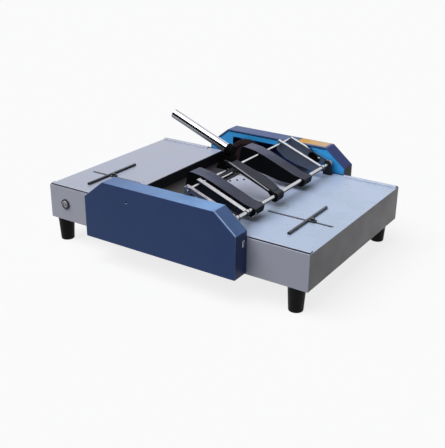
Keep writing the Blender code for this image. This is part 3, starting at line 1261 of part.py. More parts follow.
def build_inlet():
    """The mains inlet on the left table's far face: a flange, a deep mouth and three pins."""
    z = TABLE_HEIGHT - SWITCH_DROP
    face = HALF_DEPTH + FIT
    place = {"at": (SWITCH_X, face, z)}

    def centred(name, width, height, y, finish=None):
        return box(name, (-width / 2, width / 2), y, (-height / 2, height / 2), finish, **place)

    inlet = centred("mains_inlet", INLET_FLANGE_WIDTH, INLET_FLANGE_HEIGHT,
                    (0, INLET_FLANGE_THICKNESS), "black_plastic")
    soften(inlet, EDGE_ROUND)
    body = centred("inlet_body", INLET_BODY_WIDTH, INLET_BODY_HEIGHT,
                   (-INLET_BODY_LENGTH, INLET_FLANGE_THICKNESS / 2))
    mouth_floor = INLET_FLANGE_THICKNESS - INLET_MOUTH_DEPTH
    mouth = centred("inlet_mouth_cut", INLET_MOUTH_WIDTH, INLET_MOUTH_HEIGHT,
                    (mouth_floor, INLET_FLANGE_THICKNESS + OVERRUN))
    join(inlet, body)
    cut(inlet, mouth)
    pins = ((-INLET_PIN_PITCH, -INLET_LIVE_DROP), (0, INLET_EARTH_RISE), (INLET_PIN_PITCH, -INLET_LIVE_DROP))
    for index, (x, rise) in enumerate(pins):
        half_width = INLET_PIN_WIDTH / 2
        half_height = INLET_PIN_HEIGHT / 2
        pin = box("inlet_pin_" + str(index), (x - half_width, x + half_width),
                  (mouth_floor - INLET_PIN_WIDTH, mouth_floor + INLET_PIN_LENGTH),
                  (rise - half_height, rise + half_height), **place)
        join(inlet, pin)


clear_scene()
FINISHES = finishes()
build_feet()
build_base()
build_tables()
build_frames()
build_bed()
build_cover("near", -1)
build_cover("far", 1)
build_shaft()
build_press_frame()
build_stop("left_stop", -1, LEFT_STOP_X, LEFT_SLOT_Y, LEFT_STOP_MIDDLE_Y)
build_stop("right_stop", 1, RIGHT_STOP_X, RIGHT_SLOT_Y, RIGHT_STOP_MIDDLE_Y)
build_fold_unit()
build_switch()
build_inlet()
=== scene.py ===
# %% [markdown]
# # Dressing a booklet maker
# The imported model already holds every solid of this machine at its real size: two grey feed
# tables, a blue cover on each side, and a frame of stapler arms that a chrome lever swings down.
# This script gives each solid its real finish and soft edges, adds the small pieces that a solid
# model leaves out, and sets up a pale floor, soft light and a camera where the photographer stood.

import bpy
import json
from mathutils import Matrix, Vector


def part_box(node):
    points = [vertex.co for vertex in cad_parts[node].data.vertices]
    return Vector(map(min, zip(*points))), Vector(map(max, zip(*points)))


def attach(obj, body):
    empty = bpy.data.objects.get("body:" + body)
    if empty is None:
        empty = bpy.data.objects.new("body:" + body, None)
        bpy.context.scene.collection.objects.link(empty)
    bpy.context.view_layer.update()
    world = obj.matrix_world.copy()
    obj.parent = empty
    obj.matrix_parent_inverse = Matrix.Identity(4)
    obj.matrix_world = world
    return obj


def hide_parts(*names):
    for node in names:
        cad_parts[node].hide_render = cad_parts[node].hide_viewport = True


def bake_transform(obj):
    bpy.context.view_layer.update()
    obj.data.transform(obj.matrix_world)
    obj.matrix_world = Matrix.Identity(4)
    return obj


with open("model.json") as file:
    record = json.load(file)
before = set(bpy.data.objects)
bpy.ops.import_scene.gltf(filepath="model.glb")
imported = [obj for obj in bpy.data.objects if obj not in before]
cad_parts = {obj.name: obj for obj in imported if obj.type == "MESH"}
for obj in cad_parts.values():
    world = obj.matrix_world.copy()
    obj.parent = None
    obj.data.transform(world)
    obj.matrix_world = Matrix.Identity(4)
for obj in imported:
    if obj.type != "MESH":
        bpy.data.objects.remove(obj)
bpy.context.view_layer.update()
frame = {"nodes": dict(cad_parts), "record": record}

# %% [markdown]
# Every length below is written in millimetres, as on a workshop drawing, and multiplied by MM
# where Blender needs metres. X runs with the paper, the near side looks along minus Y, Z is up.

# %% Modules and units
import json
import math

import bmesh
import bpy
from mathutils import Matrix, Vector

MM = 0.001
RIGHT, FAR, UP = Vector((1, 0, 0)), Vector((0, 1, 0)), Vector((0, 0, 1))
NEAR = -FAR
print("Blender", bpy.app.version_string)

# %% [markdown]
# ## Colours
# A colour that a person picks on a screen is stored in sRGB, but a shader adds and multiplies
# light, so it needs linear numbers. One function does the change, and every finish below then
# names its colours as plain hex values.

# %% Colour and size helpers
def linear(hex_colour):
    """Turn an sRGB hex colour into the linear numbers that shaders work in."""
    channels = [int(hex_colour[i:i + 2], 16) / 255 for i in (1, 3, 5)]
    return [c / 12.92 if c <= 0.04045 else ((c + 0.055) / 1.055) ** 2.4 for c in channels] + [1.0]


def per_grain(size):
    """The noise scale whose grains are this many millimetres wide."""
    return 1 / (size * MM)


print("mid grey in linear light", [round(c, 3) for c in linear("#808080")])

# %% [markdown]
# ## A helper for shader nodes
# Finishes are built from a few nodes: noise for blotches and grain, a range to sharpen it, a mix
# for colour, a bump for relief. Adding a node is always the same three moves, so one function
# makes the node, sets it up and links it. Every finish ends the same way too, with a colour, a
# roughness and a grain laid on its surface.

# %% Node helper
COLOUR = {"data_type": "RGBA"}
TIMES = {"operation": "MULTIPLY"}
SMOOTH = {"interpolation_type": "SMOOTHSTEP"}
A, B, MIXED = 6, 7, 2


def main_output(node):
    """The output that a node is used for: the third of a colour mix, the first of any other."""
    return node.outputs[MIXED if node.type == "MIX" else 0]


def add_node(tree, kind, settings=None, inputs=None):
    """Add one shader node, apply its own settings, and fill or link its inputs."""
    new = tree.nodes.new("ShaderNode" + kind)
    for name, value in (settings or {}).items():
        setattr(new, name, value)
    for name, value in (inputs or {}).items():
        if isinstance(value, bpy.types.Node):
            value = main_output(value)
        if isinstance(value, bpy.types.NodeSocket):
            tree.links.new(value, new.inputs[name])
        else:
            new.inputs[name].default_value = value
    return new


def start_finish(name, **constants):
    """Start a material, with these numbers typed straight into its surface shader."""
    finish = bpy.data.materials.new(name)
    finish.use_nodes = True
    surface = finish.node_tree.nodes["Principled BSDF"]
    for socket, value in constants.items():
        surface.inputs[socket.replace("_", " ")].default_value = value
    return finish, finish.node_tree, surface


def lay_on(tree, surface, colour, roughness, grain, depth):
    """Link a surface's colour and roughness, and raise its grain by a depth in millimetres."""
    relief = add_node(tree, "Bump", inputs={"Height": grain, "Distance": depth * MM})
    for socket, node in (("Base Color", colour), ("Roughness", roughness), ("Normal", relief)):
        tree.links.new(main_output(node), surface.inputs[socket])


# %% [markdown]
# ## Powder coat and enamel
# The sheet metal is sprayed and baked. Powder coat dries with a fine orange peel, which breaks up
# reflections. One recipe covers the greys, blues and blacks: a base colour, a colour of its own for
# faces that look up, large soft blotches, and a shallow bump. On the sheet, that colour on upward
# faces is painted light, the light and sheen that the tops catch, and it can change along X as a
# painted gradient of that light. A real peel is under 1 mm across, too fine to show at this image
# size, so it is drawn at 3 mm. Ends that look along X can have a colour of their own, which is
# painted shade. A bent edge can get a paler colour, which is a painted highlight. A bend between a
# side and a top turns its normal from Y to Z, and y squared times one minus y squared is highest
# half way round it, which finds the bends without painting them by hand.

# %% Baked coat recipe
PEEL = 3.0
BLOTCH = 55.0
print("orange peel and blotches in millimetres", PEEL, BLOTCH)


def baked_coat(name, side, top, rough, gloss, peel_depth=0.02, x_gradient=None, level=0.15,
               mottle=None, bend=None, end=None):
    """A baked coat: side and top colours, where a top starts, its gradient along X and blotches,
    and the colours of bent edges and of end faces. On sheet metal the top colour and its gradient
    are painted light, the bent edges' colour a painted highlight and the end faces' colour painted
    shade."""
    finish, tree, surface = start_finish(name, Metallic=0.0, IOR=1.5, Specular_IOR_Level=gloss)
    place = add_node(tree, "TexCoord")
    facing = add_node(tree, "SeparateXYZ", inputs={"Vector": place.outputs["Normal"]})
    upward = add_node(tree, "MapRange", SMOOTH,
                      {"Value": facing.outputs["Z"], "From Min": level, "From Max": 1.0})
    cloud = add_node(tree, "TexNoise", inputs={
        "Vector": place.outputs["Object"], "Scale": per_grain(BLOTCH), "Detail": 3.0})
    amount = add_node(tree, "MapRange", inputs={
        "Value": cloud, "From Min": 0.3, "From Max": 0.7, "To Min": 0.8, "To Max": 1.0})
    # On sheet metal this is a painted light gradient: the share of the top colour changes along X.
    # On the amber film it is the film's own colour running from yellow to tan.
    if x_gradient:
        spot = add_node(tree, "SeparateXYZ", inputs={"Vector": place.outputs["Object"]})
        along = add_node(tree, "MapRange", inputs={
            "Value": spot.outputs["X"], "From Min": x_gradient[0] * MM, "From Max": x_gradient[1] * MM,
            "To Min": x_gradient[2], "To Max": x_gradient[3]})
        amount = add_node(tree, "Math", TIMES, {0: amount, 1: along})
    # Painted light on sheet metal: upward faces take the top colour for the light and sheen they
    # catch. On the amber film the top colour is the film's own yellow.
    painted_top_light = add_node(tree, "Math", TIMES, {0: upward, 1: amount})
    blotches = add_node(tree, "MapRange", inputs={
        "Value": cloud, "From Min": 0.32, "From Max": 0.68})
    upper = add_node(tree, "Mix", COLOUR, {0: blotches, A: linear(top), B: linear(mottle or top)})
    colour = add_node(tree, "Mix", COLOUR, {0: painted_top_light, A: linear(side), B: upper})
    # Painted shade: faces that look along X take the end colour.
    if end:
        endwise = add_node(tree, "Math", {"operation": "ABSOLUTE"}, {0: facing.outputs["X"]})
        reach = add_node(tree, "MapRange", inputs={
            "Value": endwise, "From Min": 0.85, "From Max": 0.98})
        colour = add_node(tree, "Mix", COLOUR, {0: reach, A: colour, B: linear(end)})
    # Painted highlight: faces half way round a bend between a side and a top take the bend colour.
    if bend:
        across = add_node(tree, "Math", {"operation": "ABSOLUTE"}, {0: facing.outputs["Y"]})
        squared = add_node(tree, "Math", {"operation": "POWER"}, {0: across, 1: 2.0})
        rest = add_node(tree, "Math", {"operation": "SUBTRACT"}, {0: 1.0, 1: squared})
        halfway = add_node(tree, "Math", TIMES, {0: squared, 1: rest})
        painted_bend_highlight = add_node(tree, "MapRange", inputs={
            "Value": halfway, "From Min": 0.03, "From Max": 0.2})
        colour = add_node(tree, "Mix", COLOUR, {0: painted_bend_highlight, A: colour, B: linear(bend)})
    peel = add_node(tree, "TexNoise", inputs={
        "Vector": place.outputs["Object"], "Scale": per_grain(PEEL), "Detail": 2.0})
    shine = add_node(tree, "MapRange", inputs={
        "Value": cloud, "From Min": 0.3, "From Max": 0.7,
        "To Min": rough - 0.05, "To Max": rough + 0.07})
    lay_on(tree, surface, colour, shine, peel, peel_depth)
    return finish


# %% [markdown]
# The tables are a warm light grey polyester powder coat, satin. Their flat tops are painted a
# cooler, blotchy grey for the sky reflections they show, and their right ends a painted shade. The
# covers are a dark navy stoving enamel; their level crest is painted a chalky sky blue for the
# light and sheen it catches, more so towards the right, while their slopes keep the dark colour.
# The far cover has greyer colours of its own, painted for the light and reflection it shows, with a
# painted shade on its ends. The inner panels are a bright azure. Frames and arms are matt black and
# near-black grey, which hide grease; the arm crests are painted a paler slate for the light they
# catch, less of it towards the shaft.

# %% Baked coats
# Painted light: each top colour below; painted shade: each end colour; painted highlight: each bend
# colour.
TABLE_COAT = baked_coat("powder_coat_light_grey", "#BFC1D0", "#A8AEC0", 0.32, 0.45,
                        mottle="#B1B8CB", bend="#CDCFDB", end="#A09EA4")
RIGHT_TOP_COAT = baked_coat("powder_coat_light_grey_cool", "#BDBFCE", "#AEC4DF", 0.28, 0.5,
                            mottle="#BBCAE6", bend="#C9CFDE", end="#5F5D64")
RIGHT_BOX_COAT = baked_coat("powder_coat_light_grey_aged", "#B6B9C8", "#AEC4DF", 0.36, 0.4,
                            mottle="#BBCAE6", bend="#CDCFDB", end="#5C5A60")
# Painted light: the covers' pale crest colour, stronger towards the right.
COVER_COAT = baked_coat("stoving_enamel_navy", "#334A7A", "#739ED9", 0.34, 0.18, 0.01,
                        x_gradient=(-180, 120, 0.27, 1.0), level=0.63, mottle="#83ADE1", bend="#A9C2EA",
                        end="#3A4B7C")
# The far cover's own colours are painted for its light and reflection; its near-black end colour is
# painted shade.
FAR_COAT = baked_coat("stoving_enamel_violet_grey", "#33427C", "#5B6B96", 0.4, 0.1, 0.01,
                      x_gradient=(-180, 150, 1.0, 0.75), level=0.85, bend="#8C97B4", end="#06070B")
# Painted highlight: a pale blue coat for the strip along the near cover's slope edge.
EDGE_HIGHLIGHT_COAT = baked_coat("worn_enamel_edge", "#A9C4F2", "#C4DCFF", 0.34, 0.18, 0.01,
                            x_gradient=(143, 156, 0.0, 1.0), level=0.1)
PANEL_COAT = baked_coat("stoving_enamel_azure", "#3AA9F2", "#5BB2EC", 0.3, 0.4, 0.01)
BLACK_COAT = baked_coat("powder_coat_black", "#0B0D11", "#171A20", 0.5, 0.25)
WELL_COAT = baked_coat("powder_coat_black_dusty", "#171B22", "#23272F", 0.45, 0.3)
BLOCK_COAT = baked_coat("powder_coat_black_oily", "#040405", "#08070A", 0.7, 0.04)
# Painted light: the arms' pale slate crest, less of it towards the shaft; painted shade: their
# black ends.
ARM_COAT = baked_coat("powder_coat_slate", "#06070A", "#5A6074", 0.5, 0.07,
                      x_gradient=(50, 110, 1.0, 0.5), mottle="#707284", bend="#5C5E6C",
                      end="#020203")
BAR_COAT = baked_coat("powder_coat_slate_rubbed", "#07080A", "#3E414C", 0.5, 0.07,
                      mottle="#4A4A52", bend="#50525C", end="#020203")
CHUTE_COAT = baked_coat("paint_grey_brown", "#1A1818", "#2A2727", 0.45, 0.35)
STOP_COAT = baked_coat("paint_steel_grey", "#24292F", "#5C626C", 0.38, 0.3, 0.01)
print("baked coats", [m.name for m in (TABLE_COAT, COVER_COAT, PANEL_COAT, BLACK_COAT, ARM_COAT)])

# %% [markdown]
# ## Bare and plated metal
# Chrome plate mirrors the room, so its look is all in the roughness: a low value with faint
# cloudy smears from hands. Zinc plate is greyer and rougher, ground steel is in between, and the
# bed is brushed sheet, its fine lines running with the paper; its near side is painted paler and
# duller, which is painted light. Metal keeps the default IOR. Where a surface turns down, such as
# the flanks of the links and the undersides of the rods, the recipe can lay a film of another
# colour: a dark film there is painted shade.

# %% Metal recipe
def worked_metal(name, dull, bright, rough, spread, stretch=(1, 1, 1), grain=4.0, depth=0.004,
                 film=None, film_range=(0.3, 0.8), across="Normal", thin=0.1):
    """A metal: two close colours, its roughness, its grain, and a film of another colour where it
    turns down, told by how far up it faces, or for a bed by its place along Y in metres. The film
    is painted shade, or on a bed painted light. It hides the metal more the nearer thin is to
    nothing."""
    finish, tree, surface = start_finish(name, Metallic=1.0)
    place = add_node(tree, "TexCoord")
    laid = add_node(tree, "Mapping", inputs={"Vector": place.outputs["Object"], "Scale": stretch})
    lines = add_node(tree, "TexNoise", inputs={
        "Vector": laid, "Scale": per_grain(grain), "Detail": 3.0})
    contrast = add_node(tree, "MapRange", inputs={
        "Value": lines, "From Min": 0.35, "From Max": 0.65})
    colour = add_node(tree, "Mix", COLOUR, {0: contrast, A: linear(dull), B: linear(bright)})
    shine = add_node(tree, "MapRange", inputs={
        "Value": contrast, "To Min": rough - spread, "To Max": rough + spread})
    # The film is painted shade on faces that turn down, and on the bed a pale painted light on its
    # near side.
    if film:
        facing = add_node(tree, "SeparateXYZ", inputs={"Vector": place.outputs[across]})
        film_free = add_node(tree, "MapRange", SMOOTH, {
            "Value": facing.outputs["Z" if across == "Normal" else "Y"],
            "From Min": film_range[0], "From Max": film_range[1]})
        colour = add_node(tree, "Mix", COLOUR, {0: film_free, A: linear(film), B: colour})
        shine = add_node(tree, "MapRange", inputs={
            "Value": film_free, "To Min": rough + 0.25, "To Max": shine})
        bare = add_node(tree, "MapRange", inputs={"Value": film_free, "To Min": thin, "To Max": 1.0})
        tree.links.new(main_output(bare), surface.inputs["Metallic"])
    lay_on(tree, surface, colour, shine, lines, depth)
    return finish


print("noise scale of a 4 mm grain", per_grain(4.0))

# %% [markdown]
# The chromes differ in where their film paints shade: the lever and the rods only underneath, the
# near link dark on its flanks, the far ones a paler grey there as painted reflection, and the dull
# middle one black on its flanks. The bed's film is painted light, a paler and duller near side, so
# it is told by the place along Y.

# %% Metals
CHROME = worked_metal("chrome_plate", "#D5D7DB", "#E6E8EB", 0.1, 0.04, grain=12.0, depth=0.002)
# Painted shade: the lever's underside takes a greyer film.
LEVER_CHROME = worked_metal("chrome_plate_handled", "#DADBDE", "#E9EAED", 0.09, 0.03, grain=14.0,
                            depth=0.002, film="#A6A7AC", film_range=(-0.1, 0.3), thin=1.0)
# Painted shade: a dark film on the near inner link's flanks.
LINK_CHROME = worked_metal("chrome_plate_oiled_flanks", "#CDD0D6", "#E9EAED", 0.14, 0.04,
                           grain=9.0, film="#141922")
# Painted shade on flanks, paler here as a painted reflection: the outer links, the far inner link
# and the spring's bracket.
FAR_LINK_CHROME = worked_metal("chrome_plate_dusty_flanks", "#CDD0D6", "#E9EAED", 0.14, 0.04,
                               grain=9.0, film="#566073")
# Painted shade: a black film on the middle link's flanks.
MIDDLE_LINK_CHROME = worked_metal("chrome_plate_black_flanks", "#8B8D94", "#A4A6AD", 0.18,
                                  0.04, grain=9.0, film="#07080C")
# Painted shade: a dark film on the rods' undersides.
ROD_CHROME = worked_metal("chrome_plate_oiled_underside", "#C9CBD1", "#E9EAED", 0.12, 0.04,
                          grain=9.0, film="#26272D", film_range=(-0.1, 0.5), thin=0.6)
# Painted shade: a dark film on the shaft's underside.
GROUND_STEEL = worked_metal("ground_steel_shaft", "#B4B7BC", "#D9DCE0", 0.2, 0.05,
                            stretch=(1, 4, 1), grain=3.0, film="#24252B", film_range=(-0.1, 0.5),
                            thin=0.6)
# Painted light: a pale, duller film on the bed's near side.
BED_STEEL = worked_metal("brushed_steel_bed", "#7C8292", "#A2A9BA", 0.34, 0.06,
                         stretch=(0.12, 1, 1), grain=2.5, film="#C9CFE2",
                         film_range=(0.06, 0.14), across="Object", thin=0.05)
ZINC = worked_metal("zinc_plate", "#9DA2A8", "#C3C7CB", 0.3, 0.07, grain=5.0)
CAN_STEEL = worked_metal("galvanised_motor_can", "#83878C", "#A5A9AD", 0.4, 0.08, grain=9.0)
SPRING_STEEL = worked_metal("oiled_spring_steel", "#4A4C50", "#6A6C70", 0.3, 0.05, grain=6.0)
BLACK_OXIDE = worked_metal("black_oxide_steel", "#17181B", "#232529", 0.38, 0.05, grain=6.0)
print("metals", [m.name for m in (CHROME, GROUND_STEEL, BED_STEEL, ZINC, CAN_STEEL)])

# %% [markdown]
# ## Rubber and plastic
# The fold rollers are nitrile rubber, dull from grinding; the feet and the small fittings are
# moulded black, with a slight sheen and a fine sparked texture. The big gear is cloth-filled
# phenolic, which machines to a brown with darker threads about 1 mm apart.

# %% Moulded recipe
def moulded(name, deep, light, rough, gloss, grain, depth, blotch=20.0):
    """A moulded or ground rubber or plastic with a fine even texture."""
    finish, tree, surface = start_finish(name, Metallic=0.0, IOR=1.5, Specular_IOR_Level=gloss)
    place = add_node(tree, "TexCoord").outputs["Object"]
    cloud = add_node(tree, "TexNoise", inputs={
        "Vector": place, "Scale": per_grain(blotch), "Detail": 3.0})
    tint = add_node(tree, "Mix", COLOUR, {0: cloud, A: linear(deep), B: linear(light)})
    spark = add_node(tree, "TexNoise", inputs={
        "Vector": place, "Scale": per_grain(grain), "Detail": 2.0})
    shine = add_node(tree, "MapRange", inputs={
        "Value": spark, "To Min": rough - 0.08, "To Max": rough + 0.08})
    lay_on(tree, surface, tint, shine, spark, depth)
    return finish


print("noise scale of a 1.5 mm spark", round(per_grain(1.5), 1))

# %% [markdown]
# Each mould's texture is given by the width of its grains. The amber film is dyed vinyl, flat and
# satin like paint, so the recipe for coats serves it.

# %% Rubbers and plastics
ROLLER_RUBBER = moulded("nitrile_rubber_ground", "#202022", "#2C2C2E", 0.7, 0.3, 1.5, 0.05)
FOOT_RUBBER = moulded("moulded_rubber_black", "#030303", "#070708", 0.5, 0.12, 1.5, 0.02)
BLACK_PLASTIC = moulded("moulded_abs_black", "#121214", "#1A1A1D", 0.38, 0.4, 1.5, 0.01)
PALE_PLASTIC = moulded("moulded_abs_pale_grey", "#B2B3B8", "#C2C3C7", 0.35, 0.5, 1.5, 0.01)
PHENOLIC = moulded("cloth_filled_phenolic", "#1C1214", "#3A2628", 0.45, 0.4, 1.2, 0.03, blotch=2.0)
AMBER_FILM = baked_coat("amber_vinyl_film", "#D2B28E", "#E2A91F", 0.4, 0.12, 0.005,
                        x_gradient=(66, 128, 1.0, 0.05), level=0.1, mottle="#D29A2C")
print("moulded", [m.name for m in (ROLLER_RUBBER, FOOT_RUBBER, BLACK_PLASTIC, PALE_PLASTIC)])

# %% [markdown]
# ## Which finish goes where
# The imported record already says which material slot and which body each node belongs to. Every
# slot gets one finish here, a few nodes get a closer variant of it, and pieces made later look
# their finish up, so nothing is left plain.

# %% Finish of each slot
FINISH = {
    "table_grey": TABLE_COAT, "cover_blue": COVER_COAT, "panel_blue": PANEL_COAT,
    "black_steel": BLACK_COAT, "arm_grey": ARM_COAT, "chrome": CHROME, "bed_steel": BED_STEEL,
    "zinc_steel": ZINC, "roller_rubber": ROLLER_RUBBER, "foot_rubber": FOOT_RUBBER,
    "gear_brown": PHENOLIC, "chute_bronze": CHUTE_COAT, "stop_grey": STOP_COAT,
    "black_plastic": BLACK_PLASTIC, "rocker_grey": PALE_PLASTIC, "motor_grey": CAN_STEEL,
}
SPECIAL = {
    "far_cover": FAR_COAT, "right_table_top": RIGHT_TOP_COAT, "right_table_box": RIGHT_BOX_COAT,
    "well_wall": WELL_COAT, "base_plate": WELL_COAT, "lever_block": BLOCK_COAT,
    "far_shaft_bracket": WELL_COAT, "middle_bar": BAR_COAT, "spring_bracket": FAR_LINK_CHROME,
    "pivot_shaft": GROUND_STEEL, "near_outer_link": FAR_LINK_CHROME,
    "near_inner_link": LINK_CHROME, "far_inner_link": FAR_LINK_CHROME,
    "far_outer_link": FAR_LINK_CHROME, "middle_link": MIDDLE_LINK_CHROME,
    "cross_rod": ROD_CHROME, "tie_rod": ROD_CHROME, "lever_tube": LEVER_CHROME,
    "lift_spring": SPRING_STEEL,
}
SLOT_OF = {row["node"]: row["material_slot"] for row in frame["record"]["subparts"]}
BODY_OF = {node: body for body, nodes in frame["record"]["behaviour"]["bodies"].items()
           for node in nodes}
for node, solid in frame["nodes"].items():
    solid.data.materials.clear()
    solid.data.materials.append(SPECIAL.get(node, FINISH[SLOT_OF[node]]))
print("nodes with a finish", len(SLOT_OF))

# %% [markdown]
# ## Softer edges
# A CAD solid has knife edges, but bent sheet has a bend radius and a machined bar has a broken
# edge, and it is that small round that catches the light. The solid's own mesh stays as it is, so
# a copy is taken: its loose triangles are welded, flat ones are joined, and every sharp edge is
# bevelled. Weighted normals keep the flats flat while the bevels shade smoothly.

# %% Copy, weld and bevel
SHARP_TURN = math.radians(32)
print("edges stay sharp from degrees", round(math.degrees(SHARP_TURN)))


def welded_copy(node):
    """Copy a node's mesh into a bmesh, weld its triangles and join the flat ones."""
    mesh = bmesh.new()
    mesh.from_mesh(frame["nodes"][node].data)
    bmesh.ops.remove_doubles(mesh, verts=mesh.verts[:], dist=0.005 * MM)
    bmesh.ops.dissolve_limit(mesh, angle_limit=math.radians(0.5), verts=mesh.verts[:],
                             edges=mesh.edges[:])
    return mesh


def round_edges(mesh, width, segments=2, turn=28):
    """Bevel the edges that turn more than some degrees and are long enough to take it."""
    picked = [edge for edge in mesh.edges
              if len(edge.link_faces) == 2 and edge.calc_face_angle(0) > math.radians(turn)
              and edge.calc_length() > width * MM]
    bmesh.ops.bevel(mesh, geom=picked, offset=width * MM, offset_type="OFFSET", affect="EDGES",
                    segments=segments, profile=0.5, material=-1, clamp_overlap=True)
    return len(picked)


def add_piece(name, mesh, slot, body, finish=None, node=None):
    """Turn a bmesh into a finished piece. It rides on a body, if one is named, and may replace
    a node."""
    data = bpy.data.meshes.new(name)
    mesh.to_mesh(data)
    mesh.free()
    data.shade_smooth()
    data.set_sharp_from_angle(angle=SHARP_TURN)
    data.materials.append(finish or FINISH[slot])
    piece = bpy.data.objects.new(name, data)
    bpy.context.scene.collection.objects.link(piece)
    flats = piece.modifiers.new("flat_faces", "WEIGHTED_NORMAL")
    flats.keep_sharp = True
    if body:
        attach(piece, body)
    if node:
        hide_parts(node)
    return piece


def stand_in(node, suffix, mesh):
    """Put a piece in a node's place, on the node's own body and with the finish of its slot or
    name.
    """
    return add_piece(node + suffix, mesh, SLOT_OF[node], BODY_OF[node], SPECIAL.get(node), node)


# %% [markdown]
# Each width below, in millimetres, is the bend or edge break of that kind of piece: 1.6 on the
# covers, 0.5 to 0.8 on table sheet, bars and blocks, 0.3 to 0.5 on thin plates, 0.2 on gear teeth.
# A near and a far piece, or a left and a right one, share a width.

# %% Widths of the rounded edges
EDGE_WIDTH = {
    "cover": 1.6, "inner_panel": 0.3, "table_box": 0.7, "table_top": 0.5, "base_plate": 0.4,
    "side_frame": 0.5, "well_wall": 0.4, "bed_plate": 0.5, "clincher": 0.4, "chute_plate": 0.5,
    "bearing_plate": 0.4, "shaft_bracket": 0.5, "staple_head": 0.5, "magazine": 0.4,
    "lever_block": 0.8, "spring_bracket": 0.3, "stop_bar": 0.6, "stop_knob": 0.5,
    "switch_bezel": 0.4, "power_rocker": 0.4, "mains_inlet": 0.5, "gear_motor": 0.8,
    "drive_gear": 0.2, "roller_pinion": 0.2, "motor_pinion": 0.2, "timing_gear": 0.2,
}
SIDES = ("near_", "far_", "left_", "right_")
KIND_OF = {node: node.split("_", 1)[1] if node.startswith(SIDES) else node for node in SLOT_OF}
SOFTENED = [node for node, kind in KIND_OF.items() if kind in EDGE_WIDTH]
print("softened nodes", len(SOFTENED))

# %% [markdown]
# A screw holds each side cover, and its head sits in a pressed well so that no sleeve catches on
# it. Four cuts single out a square of the sheet round the screw's place. Its sides are cut into
# short pieces and pulled onto a circle, and the disc is extruded inwards.

# %% Well for a cover's screw
COVER_SCREW, WELL_RADIUS, WELL_DEEP, WELL_LIP = (-69.2, 157.9), 3.1, 1.7, 0.4


def carry_new(mesh, grown, way):
    """Carry the corners that an extrusion has just made."""
    corners = [part for part in grown["geom"] if isinstance(part, bmesh.types.BMVert)]
    bmesh.ops.translate(mesh, vec=way, verts=corners)


def sink_well(mesh, way):
    """Sink a round well into the widest face that looks along Y."""
    wide = max((face for face in mesh.faces if face.normal.dot(way) > 0.99),
               key=lambda face: face.calc_area())
    spot = Vector((COVER_SCREW[0] * MM, wide.calc_center_median().y, COVER_SCREW[1] * MM))
    for across in (RIGHT, -RIGHT, UP, -UP):
        split = bmesh.ops.bisect_plane(
            mesh, geom=[wide] + wide.verts[:] + wide.edges[:], dist=0.001 * MM,
            plane_co=spot + across * WELL_RADIUS * MM, plane_no=across)["geom"]
        parts = [part for part in split if isinstance(part, bmesh.types.BMFace)]
        wide = next(part for part in parts if bmesh.geometry.intersect_face_point(part, spot))
    bmesh.ops.subdivide_edges(mesh, edges=wide.edges[:], cuts=5)
    wide = next(face for face in mesh.faces if abs(face.normal.y) > 0.99
                and face.calc_area() < (2.1 * WELL_RADIUS * MM) ** 2
                and bmesh.geometry.intersect_face_point(face, spot))
    bmesh.ops.inset_individual(mesh, faces=[wide], thickness=0.3 * MM)
    for corner in wide.verts:
        corner.co = spot + (corner.co - spot).normalized() * (WELL_RADIUS - WELL_LIP) * MM
    grown = bmesh.ops.extrude_face_region(mesh, geom=[wide])
    carry_new(mesh, grown, way * -WELL_DEEP * MM)
    bmesh.ops.delete(mesh, geom=[wide], context="FACES_ONLY")


print("cover screw at X and Z", COVER_SCREW)

# %% [markdown]
# All the plates, bars and castings are softened in one loop. The press block is also trimmed to
# the shape that shows beside the lever: its foot and both its ends are drawn in a little, so that
# the rods behind it can be seen.

# %% Soften the plates, bars and castings
BLOCK_FLOOR, BLOCK_LEFT, BLOCK_RIGHT = 186.0 * MM, 6.8 * MM, 42.5 * MM
for node in SOFTENED:
    copy = welded_copy(node)
    if node == "lever_block":
        for corner in copy.verts:
            corner.co.z = max(corner.co.z, BLOCK_FLOOR)
            corner.co.x = min(max(corner.co.x, BLOCK_LEFT), BLOCK_RIGHT)
        bmesh.ops.remove_doubles(copy, verts=copy.verts[:], dist=0.3 * MM)
    edges = round_edges(copy, EDGE_WIDTH[KIND_OF[node]])
    if KIND_OF[node] == "cover":
        sink_well(copy, NEAR if node == "near_cover" else FAR)
    softened = stand_in(node, "_soft", copy)
    print(node, "edges", edges, "faces", len(softened.data.polygons))

# %% [markdown]
# ## Turned pieces
# Shafts, rods, rollers, feet and the lever came off a lathe or out of a round mould, so they are
# made here as a turner would: half of the outline is drawn as points of radius and height, and a
# spin sweeps it round. A smooth spin shows the small grooves, lips and broken edges that the
# solids leave out. The seam and the poles are merged, and the faces are made to point outwards.

# %% Spin helper
def aim(mesh, centre, axis):
    """Turn a piece built upright so that its Z runs along an axis, and carry it to its place."""
    lean = Vector(axis).to_track_quat("Z", "Y").to_matrix()
    bmesh.ops.rotate(mesh, cent=(0, 0, 0), matrix=lean, verts=mesh.verts)
    bmesh.ops.translate(mesh, vec=centre, verts=mesh.verts)


def turned(profile, centre, axis, ring=False, steps=48):
    """Spin a profile of radius and height pairs, in millimetres, about an axis at a centre."""
    mesh = bmesh.new()
    points = [mesh.verts.new((radius * MM, 0, height * MM)) for radius, height in profile]
    pairs = list(zip(points, points[1:])) + ([(points[-1], points[0])] if ring else [])
    lines = [mesh.edges.new(pair) for pair in pairs]
    bmesh.ops.spin(mesh, geom=points + lines, cent=(0, 0, 0), axis=UP, angle=math.tau,
                   steps=steps, use_merge=True)
    bmesh.ops.remove_doubles(mesh, verts=mesh.verts[:], dist=0.001 * MM)
    bmesh.ops.recalc_face_normals(mesh, faces=mesh.faces[:])
    aim(mesh, centre, axis)
    return mesh


def chamfered(radius, half, cut):
    """The profile of a plain bar, half of it either side of its middle, with chamfered ends."""
    return [(0, -half), (radius - cut, -half), (radius, cut - half), (radius, half - cut),
            (radius - cut, half), (0, half)]


def middle_of(node):
    """The middle of a node's box in metres."""
    low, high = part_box(node)
    return (Vector(low) + Vector(high)) / 2


